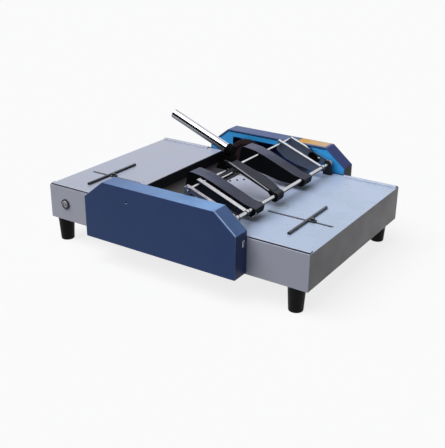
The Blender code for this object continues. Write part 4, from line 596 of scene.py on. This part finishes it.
def box_mm(node):
    """The low and high corners of a node's box in millimetres."""
    return [Vector(corner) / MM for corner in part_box(node)]


# %% [markdown]
# The feet are rubber mouldings with a lip at the top, a draft of a few degrees so that they leave
# the mould, and a rounded tread with a well for the screw that holds them.

# %% Feet
FOOT_TOP, FOOT_TIP, FOOT_TALL = 18.2, 14.9, 53.7
FOOT_PROFILE = [
    (0, 5.0), (5.2, 5.0), (5.8, 0.5), (6.5, 0), (FOOT_TIP - 1.6, 0), (FOOT_TIP - 0.4, 0.7),
    (FOOT_TIP, 2.2), (FOOT_TOP - 0.5, 48.5), (FOOT_TOP - 0.4, 49.3), (FOOT_TOP, 49.7),
    (FOOT_TOP, FOOT_TALL - 0.5), (FOOT_TOP - 0.4, FOOT_TALL), (0, FOOT_TALL)]
FOOT_SCREW = [(0, 3.2), (2.2, 3.2), (2.6, 2.4), (2.6, 3.0), (4.4, 3.4), (4.6, 4.9), (0, 4.9)]
FEET = [node for node, slot in SLOT_OF.items() if slot == "foot_rubber"]
for node in FEET:
    centre = middle_of(node)
    centre.z = 0
    stand_in(node, "_moulding", turned(FOOT_PROFILE, centre, UP))
    add_piece(node + "_screw", turned(FOOT_SCREW, centre, UP, steps=24), "zinc_steel", "body")
print("feet at", [tuple(round(c, 3) for c in middle_of(node)) for node in FEET])

# %% [markdown]
# The pivot shaft is centreless-ground bar with chamfered ends. Retaining clips of stamped spring
# steel keep the links and the arms from wandering sideways. They sit in grooves that they hide, so
# only the clips are made.

# %% Pivot shaft and its clips
SHAFT = middle_of("pivot_shaft")
SHAFT_RADIUS = 4.5
low, high = box_mm("pivot_shaft")
half_shaft = (high.y - low.y) / 2
stand_in("pivot_shaft", "_ground",
         turned(chamfered(SHAFT_RADIUS, half_shaft, 0.8), SHAFT, FAR, steps=40))
HELD = ["near_outer_link", "near_inner_link", "near_stapler_arm", "middle_bar", "far_stapler_arm",
        "far_inner_link"]
CLIP = [(SHAFT_RADIUS - 0.2, -0.5), (6.0, -0.5), (6.2, -0.3), (6.2, 0.3), (6.0, 0.5),
        (SHAFT_RADIUS - 0.2, 0.5)]
for node in HELD:
    spot = Vector((SHAFT.x, (box_mm(node)[1].y + 0.9) * MM, SHAFT.z))
    add_piece(node + "_shaft_clip", turned(CLIP, spot, FAR, ring=True, steps=32), "zinc_steel",
              "body", BLACK_OXIDE)
print("shaft length in millimetres", round(2 * half_shaft, 1))

# %% [markdown]
# The cross rod and the thin tie rod are chromed bar with domed ends, one spin each.

# %% Cross rod and tie rod
for node in ("cross_rod", "tie_rod"):
    low, high = box_mm(node)
    radius, half = (high.x - low.x) / 2, (high.y - low.y) / 2
    dome = [(radius * 0.5, half - 0.1), (radius * 0.85, half - 0.5), (radius, half - 1.2)]
    profile = ([(0, -half)] + [(wide, -out) for wide, out in dome] + dome[::-1] + [(0, half)])
    stand_in(node, "_turned", turned(profile, middle_of(node), FAR, steps=32))
    print(node, "radius", round(radius, 2))

# %% [markdown]
# ## Arms
# Each stapler arm is a pressing: a channel whose flat crest breaks about two thirds of the way
# from the shaft and then falls straight to the shaft's own height. A plane cuts a copy of the
# solid near the shaft, and the points of its top are let down to that line. Everything on the
# raised frame is placed by its reach from the shaft and its rise above it, as it would be measured
# with the frame pressed flat.

# %% Places on the raised frame
RAISED = math.radians(11.2)
FRAME_WAY = Vector((-math.cos(RAISED), 0, math.sin(RAISED)))
FRAME_UP = Vector((math.sin(RAISED), 0, math.cos(RAISED)))
print("the frame is raised by degrees", round(math.degrees(RAISED), 1))


def on_frame(reach, rise, y):
    """A place on the raised frame, from millimetres of reach, rise and Y."""
    return Vector((SHAFT.x, y * MM, SHAFT.z)) + FRAME_WAY * reach * MM + FRAME_UP * rise * MM


def reach_and_rise(place):
    """How far a place lies from the shaft along the frame, and above it, in millimetres."""
    away = place - Vector((SHAFT.x, place.y, SHAFT.z))
    return away.dot(FRAME_WAY) / MM, away.dot(FRAME_UP) / MM


# %% [markdown]
# The flat end over the shaft and the slope up from it come first, and the break in the crest is
# then moved a little outwards and down. The eye that the shaft goes through stays as it is.

# %% Pressed arms
HUB_TOP, HUB_SLOPE = 7.4, 0.1453
FLAT_END, FLAT_RISE = 18.0, 5.5
EYE_RADIUS, EYE_RISE = 5.2, 2.4
BREAK_SPAN, BREAK_RISE, BREAK_SHIFT, BREAK_DROP = (80, 112), 15, 8.0, 0.8
for node in ("near_stapler_arm", "far_stapler_arm"):
    arm = welded_copy(node)
    bmesh.ops.bisect_plane(arm, geom=arm.verts[:] + arm.edges[:] + arm.faces[:], dist=0.001 * MM,
                           plane_co=on_frame(FLAT_END, 0, 0), plane_no=FRAME_WAY)
    for corner in arm.verts:
        reach, rise = reach_and_rise(corner.co)
        if reach < FLAT_END + 0.5 and rise > 5.0 and math.hypot(reach, rise) > EYE_RADIUS:
            fall = HUB_TOP + HUB_SLOPE * max(reach, 0) - FLAT_RISE
            corner.co -= FRAME_UP * fall * MM * min(1, (rise - EYE_RISE) / 5)
        elif BREAK_SPAN[0] < reach < BREAK_SPAN[1] and rise > BREAK_RISE:
            corner.co += (FRAME_WAY * BREAK_SHIFT - FRAME_UP * BREAK_DROP) * MM
    rounded = round_edges(arm, 0.7)
    stand_in(node, "_pressing", arm)
    print(node, "edges rounded", rounded)

# %% [markdown]
# The middle bar carries a folded sheet on its crest that is widest half way along, on the far side.
# Its outline is drawn in reach and Y, laid on the bar's own top line and pulled down to the
# thickness of the sheet.

# %% Middle bar and its crest
bar = welded_copy("middle_bar")
places = [reach_and_rise(corner.co) for corner in bar.verts]
tip = max(places, key=lambda place: place[0] + place[1])
hub = max((place for place in places if place[0] < 14), key=lambda place: place[1])
crest_slope = (tip[1] - hub[1]) / (tip[0] - hub[0])
round_edges(bar, 0.6)
stand_in("middle_bar", "_machined", bar)
CREST = [(118.5, -51.6), (118.5, -22.5), (78, -19.5), (45, -16.0), (14, -25.0), (5, -27.2),
         (5, -51.6)]
CREST_LIFT, CREST_THICK = 0.5, 2.0
sheet = bmesh.new()
corners = [sheet.verts.new(on_frame(reach, hub[1] + CREST_LIFT + crest_slope * (reach - hub[0]), y))
           for reach, y in CREST]
grown = bmesh.ops.extrude_face_region(sheet, geom=[sheet.faces.new(corners)])
carry_new(sheet, grown, FRAME_UP * -CREST_THICK * MM)
bmesh.ops.recalc_face_normals(sheet, faces=sheet.faces[:])
round_edges(sheet, 0.5)
add_piece("middle_bar_crest", sheet, "arm_grey", "press_frame", BAR_COAT)
print("crest from", [round(value, 1) for value in tip], "to", [round(value, 1) for value in hub])

# %% [markdown]
# ## Links
# A link is a T in section: a bright flange on top, on a thinner web that carries the cross rod and
# goes round the shaft; the film on its flanks is painted shade. The tight belt round a few circles
# is a link's outline, so circles are laid on both its faces and a convex hull closes them into a
# plate, whose flat triangles are then joined.

# %% Link helper
def belted(circles, span, width):
    """The plate inside a belt round circles of reach, rise and radius, between two Y faces, with
    its edges rounded."""
    mesh = bmesh.new()
    upright = Matrix.Rotation(math.pi / 2, 4, "X")
    for reach, rise, radius in circles:
        for y in span:
            place = Matrix.Translation(on_frame(reach, rise, y)) @ upright
            bmesh.ops.create_circle(mesh, segments=24, radius=radius * MM, matrix=place)
    bmesh.ops.convex_hull(mesh, input=mesh.verts[:])
    inside = [corner for corner in mesh.verts if not corner.link_faces]
    bmesh.ops.delete(mesh, geom=inside, context="VERTS")
    chords = [edge for edge in mesh.edges if not edge.link_faces]
    bmesh.ops.delete(mesh, geom=chords, context="EDGES")
    bmesh.ops.dissolve_limit(mesh, angle_limit=math.radians(1), verts=mesh.verts[:],
                             edges=mesh.edges[:])
    bmesh.ops.recalc_face_normals(mesh, faces=mesh.faces[:])
    round_edges(mesh, width, turn=40)
    return mesh


# %% [markdown]
# Four links get a web, a flange and an eye each. The middle one is a plain bar with a dark plate at
# its hub, and the far outer one has a dark boss on its flank.

# %% Five links
SLIM_WEB = [(121.0, 17.0, 3.2), (117.0, 12.5, 2.5), (8, -0.8, 2.5)]
INNER_WEB = [(118.5, 18.2, 3.0), (118.5, 3.0, 3.0), (70, -6.0, 3.0), (16, -5.5, 3.5),
             (8, -0.8, 2.5)]
DEEP_WEB = [(118.0, 19.0, 3.0), (118.0, 2.0, 3.0), (95, -9.0, 3.0), (60, -13.0, 3.0),
            (20, -11.5, 3.5), (6, -0.8, 2.5)]
OUTER_WEB = [(109.5, 18.4, 3.2), (113.0, 1.5, 3.0), (60, -3.5, 3.0), (16, -4.0, 3.5),
             (8, -0.8, 2.5)]
EYE = [(0, 0, 6.0)]
LINKS = {
    "near_outer_link": (SLIM_WEB, [(121.5, 19.6, 1.8), (8, 2.6, 1.4)], (-202.0, -193.6)),
    "near_inner_link": (INNER_WEB, [(121.2, 21.8, 1.8), (0.5, 1.6, 1.6)], (-166.6, -155.4)),
    "far_inner_link": (DEEP_WEB, [(121.2, 22.0, 1.8), (1.5, 1.5, 1.5)], (162.6, 170.6)),
    "far_outer_link": (OUTER_WEB, [(111.5, 21.9, 1.6), (7.6, 4.6, 1.3)], (205.4, 212.9)),
}
for node, (web, flange, flange_span) in LINKS.items():
    low, high = box_mm(node)
    span = (low.y, high.y)
    stand_in(node, "_web", belted(web, span, 0.4))
    for part, circles, faces in (("_flange", flange, flange_span), ("_eye", EYE, span)):
        add_piece(node + part, belted(circles, faces, 0.5), "chrome", "press_frame", SPECIAL[node])
low, high = box_mm("middle_link")
stand_in("middle_link", "_bar",
         belted([(127.6, 31.6, 2.4), (15.0, 7.9, 2.1)], (low.y, high.y), 0.4))
hub_plate = belted(EYE + [(15.0, 6.6, 2.4)], (low.y + 2.6, high.y + 0.4), 0.5)
add_piece("middle_link_eye", hub_plate, "chrome", "press_frame", BLACK_OXIDE)
boss = belted([(47, 1.0, 9.0), (33, -2.0, 8.0)], (203.6, 205.7), 0.4)
add_piece("far_outer_link_boss", boss, "chrome", "press_frame", BLACK_OXIDE)
print("links", list(LINKS) + ["middle_link"])

# %% [markdown]
# The round end of the near arm is worn bright where it rubs the link beside it: a thin ring, swept
# only part of the way round the shaft by a spin. The straps further on are bent the same way.

# %% Worn rim of the near arm
def bent_strip(inside, outside, span, start, sweep, steps):
    """A flat strip bent round the shaft, between two radii and two Y faces in millimetres."""
    mesh = bmesh.new()
    out = Vector((math.cos(start), 0, math.sin(start)))
    corners = [(inside, span[0]), (outside, span[0]), (outside, span[1]), (inside, span[1])]
    points = [mesh.verts.new(Vector((SHAFT.x, y * MM, SHAFT.z)) + out * radius * MM)
              for radius, y in corners]
    bmesh.ops.spin(mesh, geom=[mesh.faces.new(points)], cent=SHAFT, axis=FAR, angle=sweep,
                   steps=steps)
    bmesh.ops.recalc_face_normals(mesh, faces=mesh.faces[:])
    return mesh


RIM_START, RIM_SWEEP = math.radians(-8), math.radians(62)
rim = bent_strip(12.4, 13.6, (-147.0, -144.4), RIM_START, RIM_SWEEP, 10)
print("worn rim, faces", len(rim.faces))
add_piece("near_arm_worn_rim", rim, "zinc_steel", "press_frame", CHROME)

# %% [markdown]
# The lever is a drawn steel tube, chromed, with a closed and rounded free end like a bicycle
# pump's. It leans 21.7 degrees with the frame raised. A shallow dimple in its end is where the
# polishing centre held it.

# %% Lever tube
LEVER_RADIUS, LEVER_LONG = 10.2, 162.7
LEVER_LEAN = math.radians(21.7)
LEVER_WAY = Vector((-math.cos(LEVER_LEAN), 0, math.sin(LEVER_LEAN)))
low, high = box_mm("lever_tube")
LEVER_FOOT = Vector((high.x - LEVER_RADIUS * math.sin(LEVER_LEAN), (low.y + high.y) / 2,
                     low.z + LEVER_RADIUS * math.cos(LEVER_LEAN))) * MM
LEVER_PROFILE = [
    (0, 0), (LEVER_RADIUS, 0), (LEVER_RADIUS, LEVER_LONG - 2.5),
    (LEVER_RADIUS - 0.55, LEVER_LONG - 1.2), (LEVER_RADIUS - 1.3, LEVER_LONG - 0.45),
    (LEVER_RADIUS - 2.5, LEVER_LONG), (2.4, LEVER_LONG), (1.2, LEVER_LONG - 0.8),
    (0, LEVER_LONG - 1.1)]
stand_in("lever_tube", "_drawn", turned(LEVER_PROFILE, LEVER_FOOT, LEVER_WAY, steps=64))
print("lever foot", tuple(round(c, 4) for c in LEVER_FOOT))

# %% [markdown]
# A spring is a spin that also climbs: the wire's circle goes round eight times and rises a little
# at each step. It has to shorten when the lever comes down; here it is made at one length.

# %% Lift spring
COIL_RADIUS, WIRE_RADIUS, COILS, STEPS_A_COIL = 5.6, 1.0, 8, 18
low, high = box_mm("lift_spring")
SPRING_FOOT = Vector((high.x - COIL_RADIUS - WIRE_RADIUS, (low.y + high.y) / 2,
                      low.z + WIRE_RADIUS)) * MM
SPRING_HEAD = SPRING_FOOT + UP * (high.z - low.z - 2 * WIRE_RADIUS) * MM
coil = bmesh.new()
bmesh.ops.create_circle(coil, segments=12, radius=WIRE_RADIUS * MM)
aim(coil, (COIL_RADIUS * MM, 0, 0), FAR)
bmesh.ops.spin(coil, geom=coil.verts[:] + coil.edges[:], cent=(0, 0, 0), axis=UP,
               dvec=(SPRING_HEAD - SPRING_FOOT) / (COILS * STEPS_A_COIL),
               angle=COILS * math.tau, steps=COILS * STEPS_A_COIL)
bmesh.ops.holes_fill(coil, edges=coil.edges[:], sides=12)
bmesh.ops.recalc_face_normals(coil, faces=coil.faces[:])
bmesh.ops.translate(coil, vec=SPRING_FOOT, verts=coil.verts)
spring = add_piece("lift_spring_coil", coil, "zinc_steel", None, SPRING_STEEL, "lift_spring")
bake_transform(spring)
print("spring: coils", COILS, "length", round((SPRING_HEAD - SPRING_FOOT).length / MM, 1), "mm")

# %% [markdown]
# The fold rollers are ground rubber sleeves with narrow grooves that let air out from under the
# paper. Their steel shafts have chamfered ends and run in bronze bushes, of which only the flanges
# show.

# %% Rollers, shafts and bushes
BRONZE = worked_metal("sintered_bronze_bush", "#7A5A38", "#A07A4C", 0.42, 0.06, grain=1.5)
ROLLER_RADIUS, HALF_ROLLER, GROOVES, GROOVE_DEEP = 19.0, 184.0, 7, 0.9
BUSH_OUT = 186.4
BUSH = [(12.4, -0.4), (12.6, 0), (12.4, 0.4), (6.8, 0.4), (6.8, -0.4)]
blank = chamfered(ROLLER_RADIUS, HALF_ROLLER, 1.2)
cuts = []
for groove in range(1, GROOVES + 1):
    at = -HALF_ROLLER + groove * 2 * HALF_ROLLER / (GROOVES + 1)
    cuts += [(ROLLER_RADIUS, at - 1.5), (ROLLER_RADIUS - GROOVE_DEEP, at - 1.1),
             (ROLLER_RADIUS - GROOVE_DEEP, at + 1.1), (ROLLER_RADIUS, at + 1.5)]
for node in ("left_roller", "right_roller"):
    centre = middle_of(node)
    stand_in(node, "_ground", turned(blank[:3] + cuts + blank[3:], centre, FAR, steps=72))
    for end, way in (("near", FAR), ("far", NEAR)):
        spot = Vector((centre.x, 0, centre.z)) - way * BUSH_OUT * MM
        add_piece(f"{node}_{end}_bush", turned(BUSH, spot, way, ring=True, steps=36), "zinc_steel",
                  "body", BRONZE)
    low, high = box_mm(node + "_shaft")
    profile = chamfered((high.x - low.x) / 2, (high.y - low.y) / 2, 1.0)
    stand_in(node + "_shaft", "_turned", turned(profile, middle_of(node + "_shaft"), FAR, steps=36))
print("roller grooves", GROOVES)

# %% [markdown]
# ## Screws
# Every sheet and block is held by something. A pan head is a short spin with a socket sunk in its
# top. A hexagon head is a six-sided cone shape whose corners are broken by a bevel. Each kind has
# a function that places it, its axis pointing away from the face that it holds down.

# %% Screw helpers
PAN_HEAD = [(0, 0.35), (0.42, 0.35), (0.5, 0.75), (0.62, 0.78), (0.86, 0.6), (1, 0.25), (1, -0.1),
            (0, -0.1)]
print("points in the outline of a pan head", len(PAN_HEAD))


def add_screw(name, spot, axis, radius, body, finish=None):
    """A pan head screw at a spot in millimetres, looking along an axis."""
    head = [(wide * radius, tall * radius) for wide, tall in PAN_HEAD]
    mesh = turned(head, Vector(spot) * MM, axis, steps=20)
    return add_piece(name, mesh, "zinc_steel", body, finish)


def add_bolt(name, spot, axis, radius, body):
    """A hexagon head bolt on its washer at a spot in millimetres, looking along an axis."""
    mesh = bmesh.new()
    tall = radius * 0.7 * MM
    bmesh.ops.create_cone(mesh, cap_ends=True, cap_tris=False, segments=6, radius1=radius * MM,
                          radius2=radius * MM, depth=tall)
    bmesh.ops.translate(mesh, vec=(0, 0, tall / 2 + 0.5 * MM), verts=mesh.verts)
    round_edges(mesh, radius * 0.08, segments=1)
    bmesh.ops.create_cone(mesh, cap_ends=True, cap_tris=False, segments=28,
                          radius1=radius * 1.35 * MM, radius2=radius * 1.3 * MM, depth=0.6 * MM)
    aim(mesh, Vector(spot) * MM, axis)
    return add_piece(name, mesh, "zinc_steel", body)


# %% [markdown]
# The screws that show in the photograph: a dark one in the near cover's well, a bright one on the
# flank of the far outer link, one on the spring's bracket, and those that hold the bed, three dark
# and three bright. The others, on the far cover, the brackets, the lever block and under the base,
# are where a fitter needs them.

# %% Screws
for row, way, side in (("near", NEAR, 0), ("far", FAR, 1)):
    face = box_mm(row + "_cover")[side].y
    add_screw(row + "_cover_screw", (COVER_SCREW[0], face - way.y * WELL_DEEP, COVER_SCREW[1]),
              way, 2.0, "body", BLACK_OXIDE)
add_screw("far_link_screw", (128.4, 205.8, 163.6), NEAR, 3.4, "press_frame")
add_screw("spring_bracket_screw", (46.2, -203.7, 192.0), NEAR, 2.0, "press_frame")
DARK_BED_SCREWS, BED_FACE = 3, 131.35
for index, (x, y) in enumerate(((-4.0, 29.0), (6.0, 43.0), (17.0, 55.0), (112.0, 35.0),
                                (112.0, -90.0), (112.0, 130.0))):
    add_screw(f"bed_screw_{index}", (x, y, BED_FACE), UP, 2.6, "body",
              BLACK_OXIDE if index < DARK_BED_SCREWS else None)
for row, face, way in (("near", -212.9, NEAR), ("far", 202.3, FAR)):
    for index, x in enumerate((149.4, 163.8)):
        add_screw(f"{row}_bracket_screw_{index}", (x, face, 138.5), way, 2.2, "body")
for index, z in enumerate((176.0, 196.0)):
    add_screw(f"block_screw_{index}", (34.0, -43.6, z), NEAR, 3.0, "press_frame", BLACK_OXIDE)
BASE_FACE = 53.9
for index, (x, y) in enumerate(((-300, -120), (-300, 120), (300, -120), (300, 120), (0, -190),
                                (0, 190), (-160, 0), (160, 0))):
    add_bolt(f"base_bolt_{index}", (x, y, BASE_FACE), -UP, 4.2, "body")
print("screws placed")

# %% [markdown]
# ## Bearing straps
# Each end of the shaft lies in a black bracket, and in the photograph bright metal shows right
# over it: a thin plated strap bent round the bracket's top. Its cross-section is a flat strip, and
# half a turn of spin about the shaft's own axis bends it.

# %% Straps over the brackets
STRAP_INSIDE, STRAP_OUTSIDE, STRAP_INSET = 9.5, 10.4, 1.2
for row in ("near", "far"):
    low, high = box_mm(row + "_shaft_bracket")
    span = (low.y + STRAP_INSET, high.y - STRAP_INSET)
    strap = bent_strip(STRAP_INSIDE, STRAP_OUTSIDE, span, 0, -math.pi, 24)
    add_piece(row + "_bearing_strap", strap, "zinc_steel", "body", CAN_STEEL)
print("strap thickness in millimetres", round(STRAP_OUTSIDE - STRAP_INSIDE, 1))

# %% [markdown]
# ## Thin trim
# Some lines in the photograph are thinner than any solid. The first is a dark rubber seal between
# each table top and its box, a plain bar with its edges broken; its dark colour also stands for the
# shade in the gap there, so it is partly painted shade.

# %% Seals under the table tops
def boxed(low, high):
    """A box between two corners in millimetres."""
    mesh = bmesh.new()
    low, high = Vector(low), Vector(high)
    bmesh.ops.create_cube(mesh, size=1)
    bmesh.ops.scale(mesh, vec=(high - low) * MM, verts=mesh.verts)
    bmesh.ops.translate(mesh, vec=(high + low) / 2 * MM, verts=mesh.verts)
    return mesh


def add_block(name, low, high, slot, body, finish=None, bevel=0.15):
    """A small straight-edged piece between two corners in millimetres, with its edges broken."""
    mesh = boxed(low, high)
    round_edges(mesh, bevel)
    return add_piece(name, mesh, slot, body, finish)


SEAL_RUBBER = moulded("foam_rubber_seal", "#1B1E26", "#2A2E38", 0.8, 0.1, 1.5, 0.05)
# Partly painted shade: the dark seal also stands for the shade in the gap under each table top.
SEAL_LOW, SEAL_HIGH = 131.3, 132.9
for side, start, end in (("left", -324.0, -144.6), ("right", 122.2, 324.0)):
    for row, inner, outer in (("near", -212.3, -210.9), ("far", 210.9, 212.3)):
        add_block(f"{side}_{row}_seal", (start, inner, SEAL_LOW), (end, outer, SEAL_HIGH),
                  "black_plastic", "body", SEAL_RUBBER)
print("seal thickness in millimetres", round(SEAL_HIGH - SEAL_LOW, 1))

# %% [markdown]
# The others are a black rubber edging round the top of each inner panel, a pale strip down the near
# cover's slope edge that is a painted highlight, and a strip of plain amber film on the far cover.
# A ribbon starts as a few points, is pulled out along Y with an extrusion and gets its thickness
# from solidify. The film is flat, so a thin bar does for it.

# %% Edging, edge highlight and film
def add_ribbon(name, path, y, wide, thick, slot, finish):
    """A ribbon along a path of X and Z points in millimetres, wide along Y, thickened inwards."""
    mesh = bmesh.new()
    points = [mesh.verts.new((x * MM, y * MM, z * MM)) for x, z in path]
    lines = [mesh.edges.new(pair) for pair in zip(points, points[1:])]
    carry_new(mesh, bmesh.ops.extrude_edge_only(mesh, edges=lines), FAR * wide * MM)
    bmesh.ops.recalc_face_normals(mesh, faces=mesh.faces[:])
    bmesh.ops.solidify(mesh, geom=mesh.faces[:], thickness=thick * MM)
    bmesh.ops.recalc_face_normals(mesh, faces=mesh.faces[:])
    return add_piece(name, mesh, slot, "body", finish)


low, high = box_mm("far_inner_panel")
EDGE_PATH = [(low.x + 0.9, 145.0), (low.x + 49.9, high.z - 0.9), (high.x - 49.1, high.z - 0.9)]
for row, y in (("far", 215.5), ("near", -216.4)):
    add_ribbon(row + "_panel_edging", EDGE_PATH, y, 0.9, 1.8, "black_plastic", SEAL_RUBBER)
# Painted highlight: a pale strip along the near cover's slope edge.
add_ribbon("near_cover_worn_edge", [(143.0, 187.5), (190.5, 148.3)], -255.4, 2.6, 0.25,
           "cover_blue", EDGE_HIGHLIGHT_COAT)
add_block("far_cover_film", (60, 221, 187.85), (136, 254, 188.1), "cover_blue", "body",
          AMBER_FILM, bevel=0.08)
print("panel edging path", [tuple(round(c, 1) for c in point) for point in EDGE_PATH])

# %% [markdown]
# ## Small fittings
# The near cover is held at its right end by a bright spring clip, the stop knobs have a coin slot,
# and the switch's rocker has two raised bars that a finger finds without looking.

# %% Clip, knob slots and rocker bars
for part, low, high in (("plate", (191.8, -232.6, 117.5), (192.5, -226.6, 131.5)),
                        ("tongue", (192.3, -233.6, 127.5), (193.4, -225.6, 131.5))):
    add_block("cover_clip_" + part, low, high, "zinc_steel", "body", CHROME, bevel=0.3)
SLOT_HALF = Vector((3.2, 0.5, 0))
for side in ("left", "right"):
    crown = middle_of(side + "_stop_knob") / MM
    crown.z = box_mm(side + "_stop_knob")[1].z
    add_block(side + "_knob_slot", crown - SLOT_HALF - UP * 0.3, crown + SLOT_HALF + UP * 0.05,
              "zinc_steel", side + "_knob", bevel=0.1)
ROCKER, ROCKER_TILT = middle_of("power_rocker"), math.radians(7)
for index, across in enumerate((-3.4, 3.4)):
    ridge = boxed((across - 0.75, -2.3, -3.75), (across + 0.75, -1.5, 3.75))
    bmesh.ops.rotate(ridge, cent=(0, 0, 0), matrix=Matrix.Rotation(ROCKER_TILT, 3, "X"),
                     verts=ridge.verts)
    bmesh.ops.translate(ridge, vec=ROCKER, verts=ridge.verts)
    round_edges(ridge, 0.25)
    add_piece(f"rocker_bar_{index}", ridge, "rocker_grey", "rocker", BLACK_PLASTIC)
print("rocker at", tuple(round(c, 4) for c in ROCKER))

# %% [markdown]
# ## Floor, light and camera
# The photograph is a product shot on a white sheet lit from behind, so the object throws almost no
# shadow on it. A wide floor and the world look white to the camera and to mirrors only, so they
# don't flood the object: light that bounces off them sees a dim grey. Part of the floor's white is
# its own glow, which thins the shadow out without losing it. One very wide lamp from the front
# left and above gives soft shade, brightest on the tops, half as bright on the near faces and dark
# on the right ends.

# %% Floor
def seen_directly(tree):
    """A factor of 1 for what the camera, a mirror or glass sees, and 0 for bounced light."""
    path = add_node(tree, "LightPath")
    mirror = add_node(tree, "Math", {"operation": "MAXIMUM"},
                      {0: path.outputs["Is Camera Ray"], 1: path.outputs["Is Glossy Ray"]})
    return add_node(tree, "Math", {"operation": "MAXIMUM"},
                    {0: mirror, 1: path.outputs["Is Transmission Ray"]})


def stage_sheet(name, mesh, finish):
    """Add a plain sheet to the scene, beside the machine."""
    data = bpy.data.meshes.new(name)
    mesh.to_mesh(data)
    mesh.free()
    data.materials.append(finish)
    sheet = bpy.data.objects.new(name, data)
    bpy.context.scene.collection.objects.link(sheet)
    return sheet


PAPER_WHITE, BOUNCE_GREY, LIT_THROUGH = linear("#FDFDFD"), linear("#4A4A4C"), 0.82
finish, tree, paper = start_finish("studio_paper_white", Roughness=1.0, Specular_IOR_Level=0.0)
seen = seen_directly(tree)
shade = add_node(tree, "Mix", COLOUR, {0: seen, A: BOUNCE_GREY, B: PAPER_WHITE})
tree.links.new(main_output(shade), paper.inputs["Base Color"])
glow = add_node(tree, "Emission", inputs={"Color": PAPER_WHITE})
share = add_node(tree, "Math", TIMES, {0: seen, 1: LIT_THROUGH})
both = add_node(tree, "MixShader", inputs={0: share, 1: paper, 2: glow})
tree.links.new(main_output(both), tree.nodes["Material Output"].inputs["Surface"])
mesh = bmesh.new()
bmesh.ops.create_grid(mesh, x_segments=1, y_segments=1, size=15.0)
floor = stage_sheet("floor", mesh, finish)
print("floor, metres across", round(floor.dimensions.x))

# %% [markdown]
# The world uses the same split between what is seen and what is lit by it, and the lamp is a sun
# as wide as 60 degrees, which is what a large softbox close by looks like from the machine.

# %% World and lamp
BOUNCED, WHITE = (0.1, 0.106, 0.118, 1), (0.975, 0.975, 0.975, 1)
world = bpy.data.worlds.new("studio")
bpy.context.scene.world = world
world.use_nodes = True
tree = world.node_tree
tone = add_node(tree, "Mix", COLOUR, {0: seen_directly(tree), A: BOUNCED, B: WHITE})
tree.links.new(main_output(tone), tree.nodes["Background"].inputs["Color"])

KEY_FROM = Vector((-0.25, -0.42, 0.87))
key_data = bpy.data.lights.new("softbox", "SUN")
key_data.energy = 2.8
key_data.angle = math.radians(60)
key_data.color = (0.99, 0.99, 1.0)
key = bpy.data.objects.new("softbox", key_data)
key.rotation_euler = KEY_FROM.to_track_quat("Z", "Y").to_euler()
bpy.context.scene.collection.objects.link(key)
bpy.context.scene.view_settings.view_transform = "Standard"
print("lamp energy", key_data.energy)

# %% [markdown]
# Chrome on a white set looks like white paint, so a photographer stands cards beside the set. They
# aren't in the picture, but the lever mirrors a black one as one dark line along it, and a pale
# violet-grey one behind as its upper edge, which is what makes it read as round metal. Here each
# card is a sheet that only mirror rays see. Their heights come from where those two lines lie
# across the lever in the photograph: up to 45 degrees high in front, about 50 behind.

# %% Cards for reflections
def add_card(name, low, high, width, height, centre, lean):
    """Stand a flat card on the set that only mirrors see, glowing from one colour up to another."""
    mesh = bmesh.new()
    bmesh.ops.create_grid(mesh, x_segments=1, y_segments=1, size=0.5)
    bmesh.ops.scale(mesh, vec=(width, height, 1), verts=mesh.verts)
    bmesh.ops.rotate(mesh, cent=(0, 0, 0), matrix=Matrix.Rotation(math.radians(lean), 3, "X"),
                     verts=mesh.verts)
    bmesh.ops.translate(mesh, vec=centre, verts=mesh.verts)
    heights = [corner.co.z for corner in mesh.verts]
    finish, tree, _ = start_finish(name + "_paper")
    place = add_node(tree, "TexCoord")
    spot = add_node(tree, "SeparateXYZ", inputs={"Vector": place.outputs["Object"]})
    climb = add_node(tree, "MapRange", inputs={
        "Value": spot.outputs["Z"], "From Min": min(heights), "From Max": max(heights)})
    tone = add_node(tree, "Mix", COLOUR, {0: climb, A: linear(low), B: linear(high)})
    glow = add_node(tree, "Emission", inputs={"Color": tone})
    tree.links.new(main_output(glow), tree.nodes["Material Output"].inputs["Surface"])
    card = stage_sheet(name, mesh, finish)
    card.visible_camera = False
    card.visible_diffuse = False
    card.visible_transmission = False
    card.visible_shadow = False
    print(name, "from", round(min(heights), 2), "to", round(max(heights), 2), "metres up")


add_card("black_card", "#1A1A1C", "#030304", 2.4, 1.5, (-0.7, -1.3, 0.77), 90)
add_card("violet_card", "#B5A9B8", "#F0ECF1", 1.1, 0.95, (-0.15, 0.44, 1.27), 136)

# %% [markdown]
# The camera's angles and focal length were solved from the corners of the tables in the
# photograph: about 33 degrees round to the right and 23 degrees up, 1.73 m away, with a short
# telephoto field of view and half a degree of roll.

# %% Camera
FRAME_HEIGHT_PX, FOCAL_PX, SENSOR = 448, 758.4, 36
TURN = math.radians(33.1146)
RAISE = math.radians(23.2721)
ROLL = math.radians(0.5949)
DISTANCE = 1.7305
LOOK_AT = Vector((-0.0025, -0.0029, 0.0374))

swing = (Matrix.Rotation(TURN, 3, "Z") @ Matrix.Rotation(math.pi / 2 - RAISE, 3, "X")
         @ Matrix.Rotation(ROLL, 3, "Z"))
camera_data = bpy.data.cameras.new("camera")
camera_data.sensor_fit = "VERTICAL"
camera_data.sensor_height = SENSOR
camera_data.lens = SENSOR * FOCAL_PX / FRAME_HEIGHT_PX
camera_data.clip_end = 100
camera = bpy.data.objects.new("camera", camera_data)
camera.matrix_world = Matrix.Translation(LOOK_AT + swing @ UP * DISTANCE) @ swing.to_4x4()
bpy.context.scene.collection.objects.link(camera)
bpy.context.scene.camera = camera
print("lens in millimetres", round(camera_data.lens, 2))
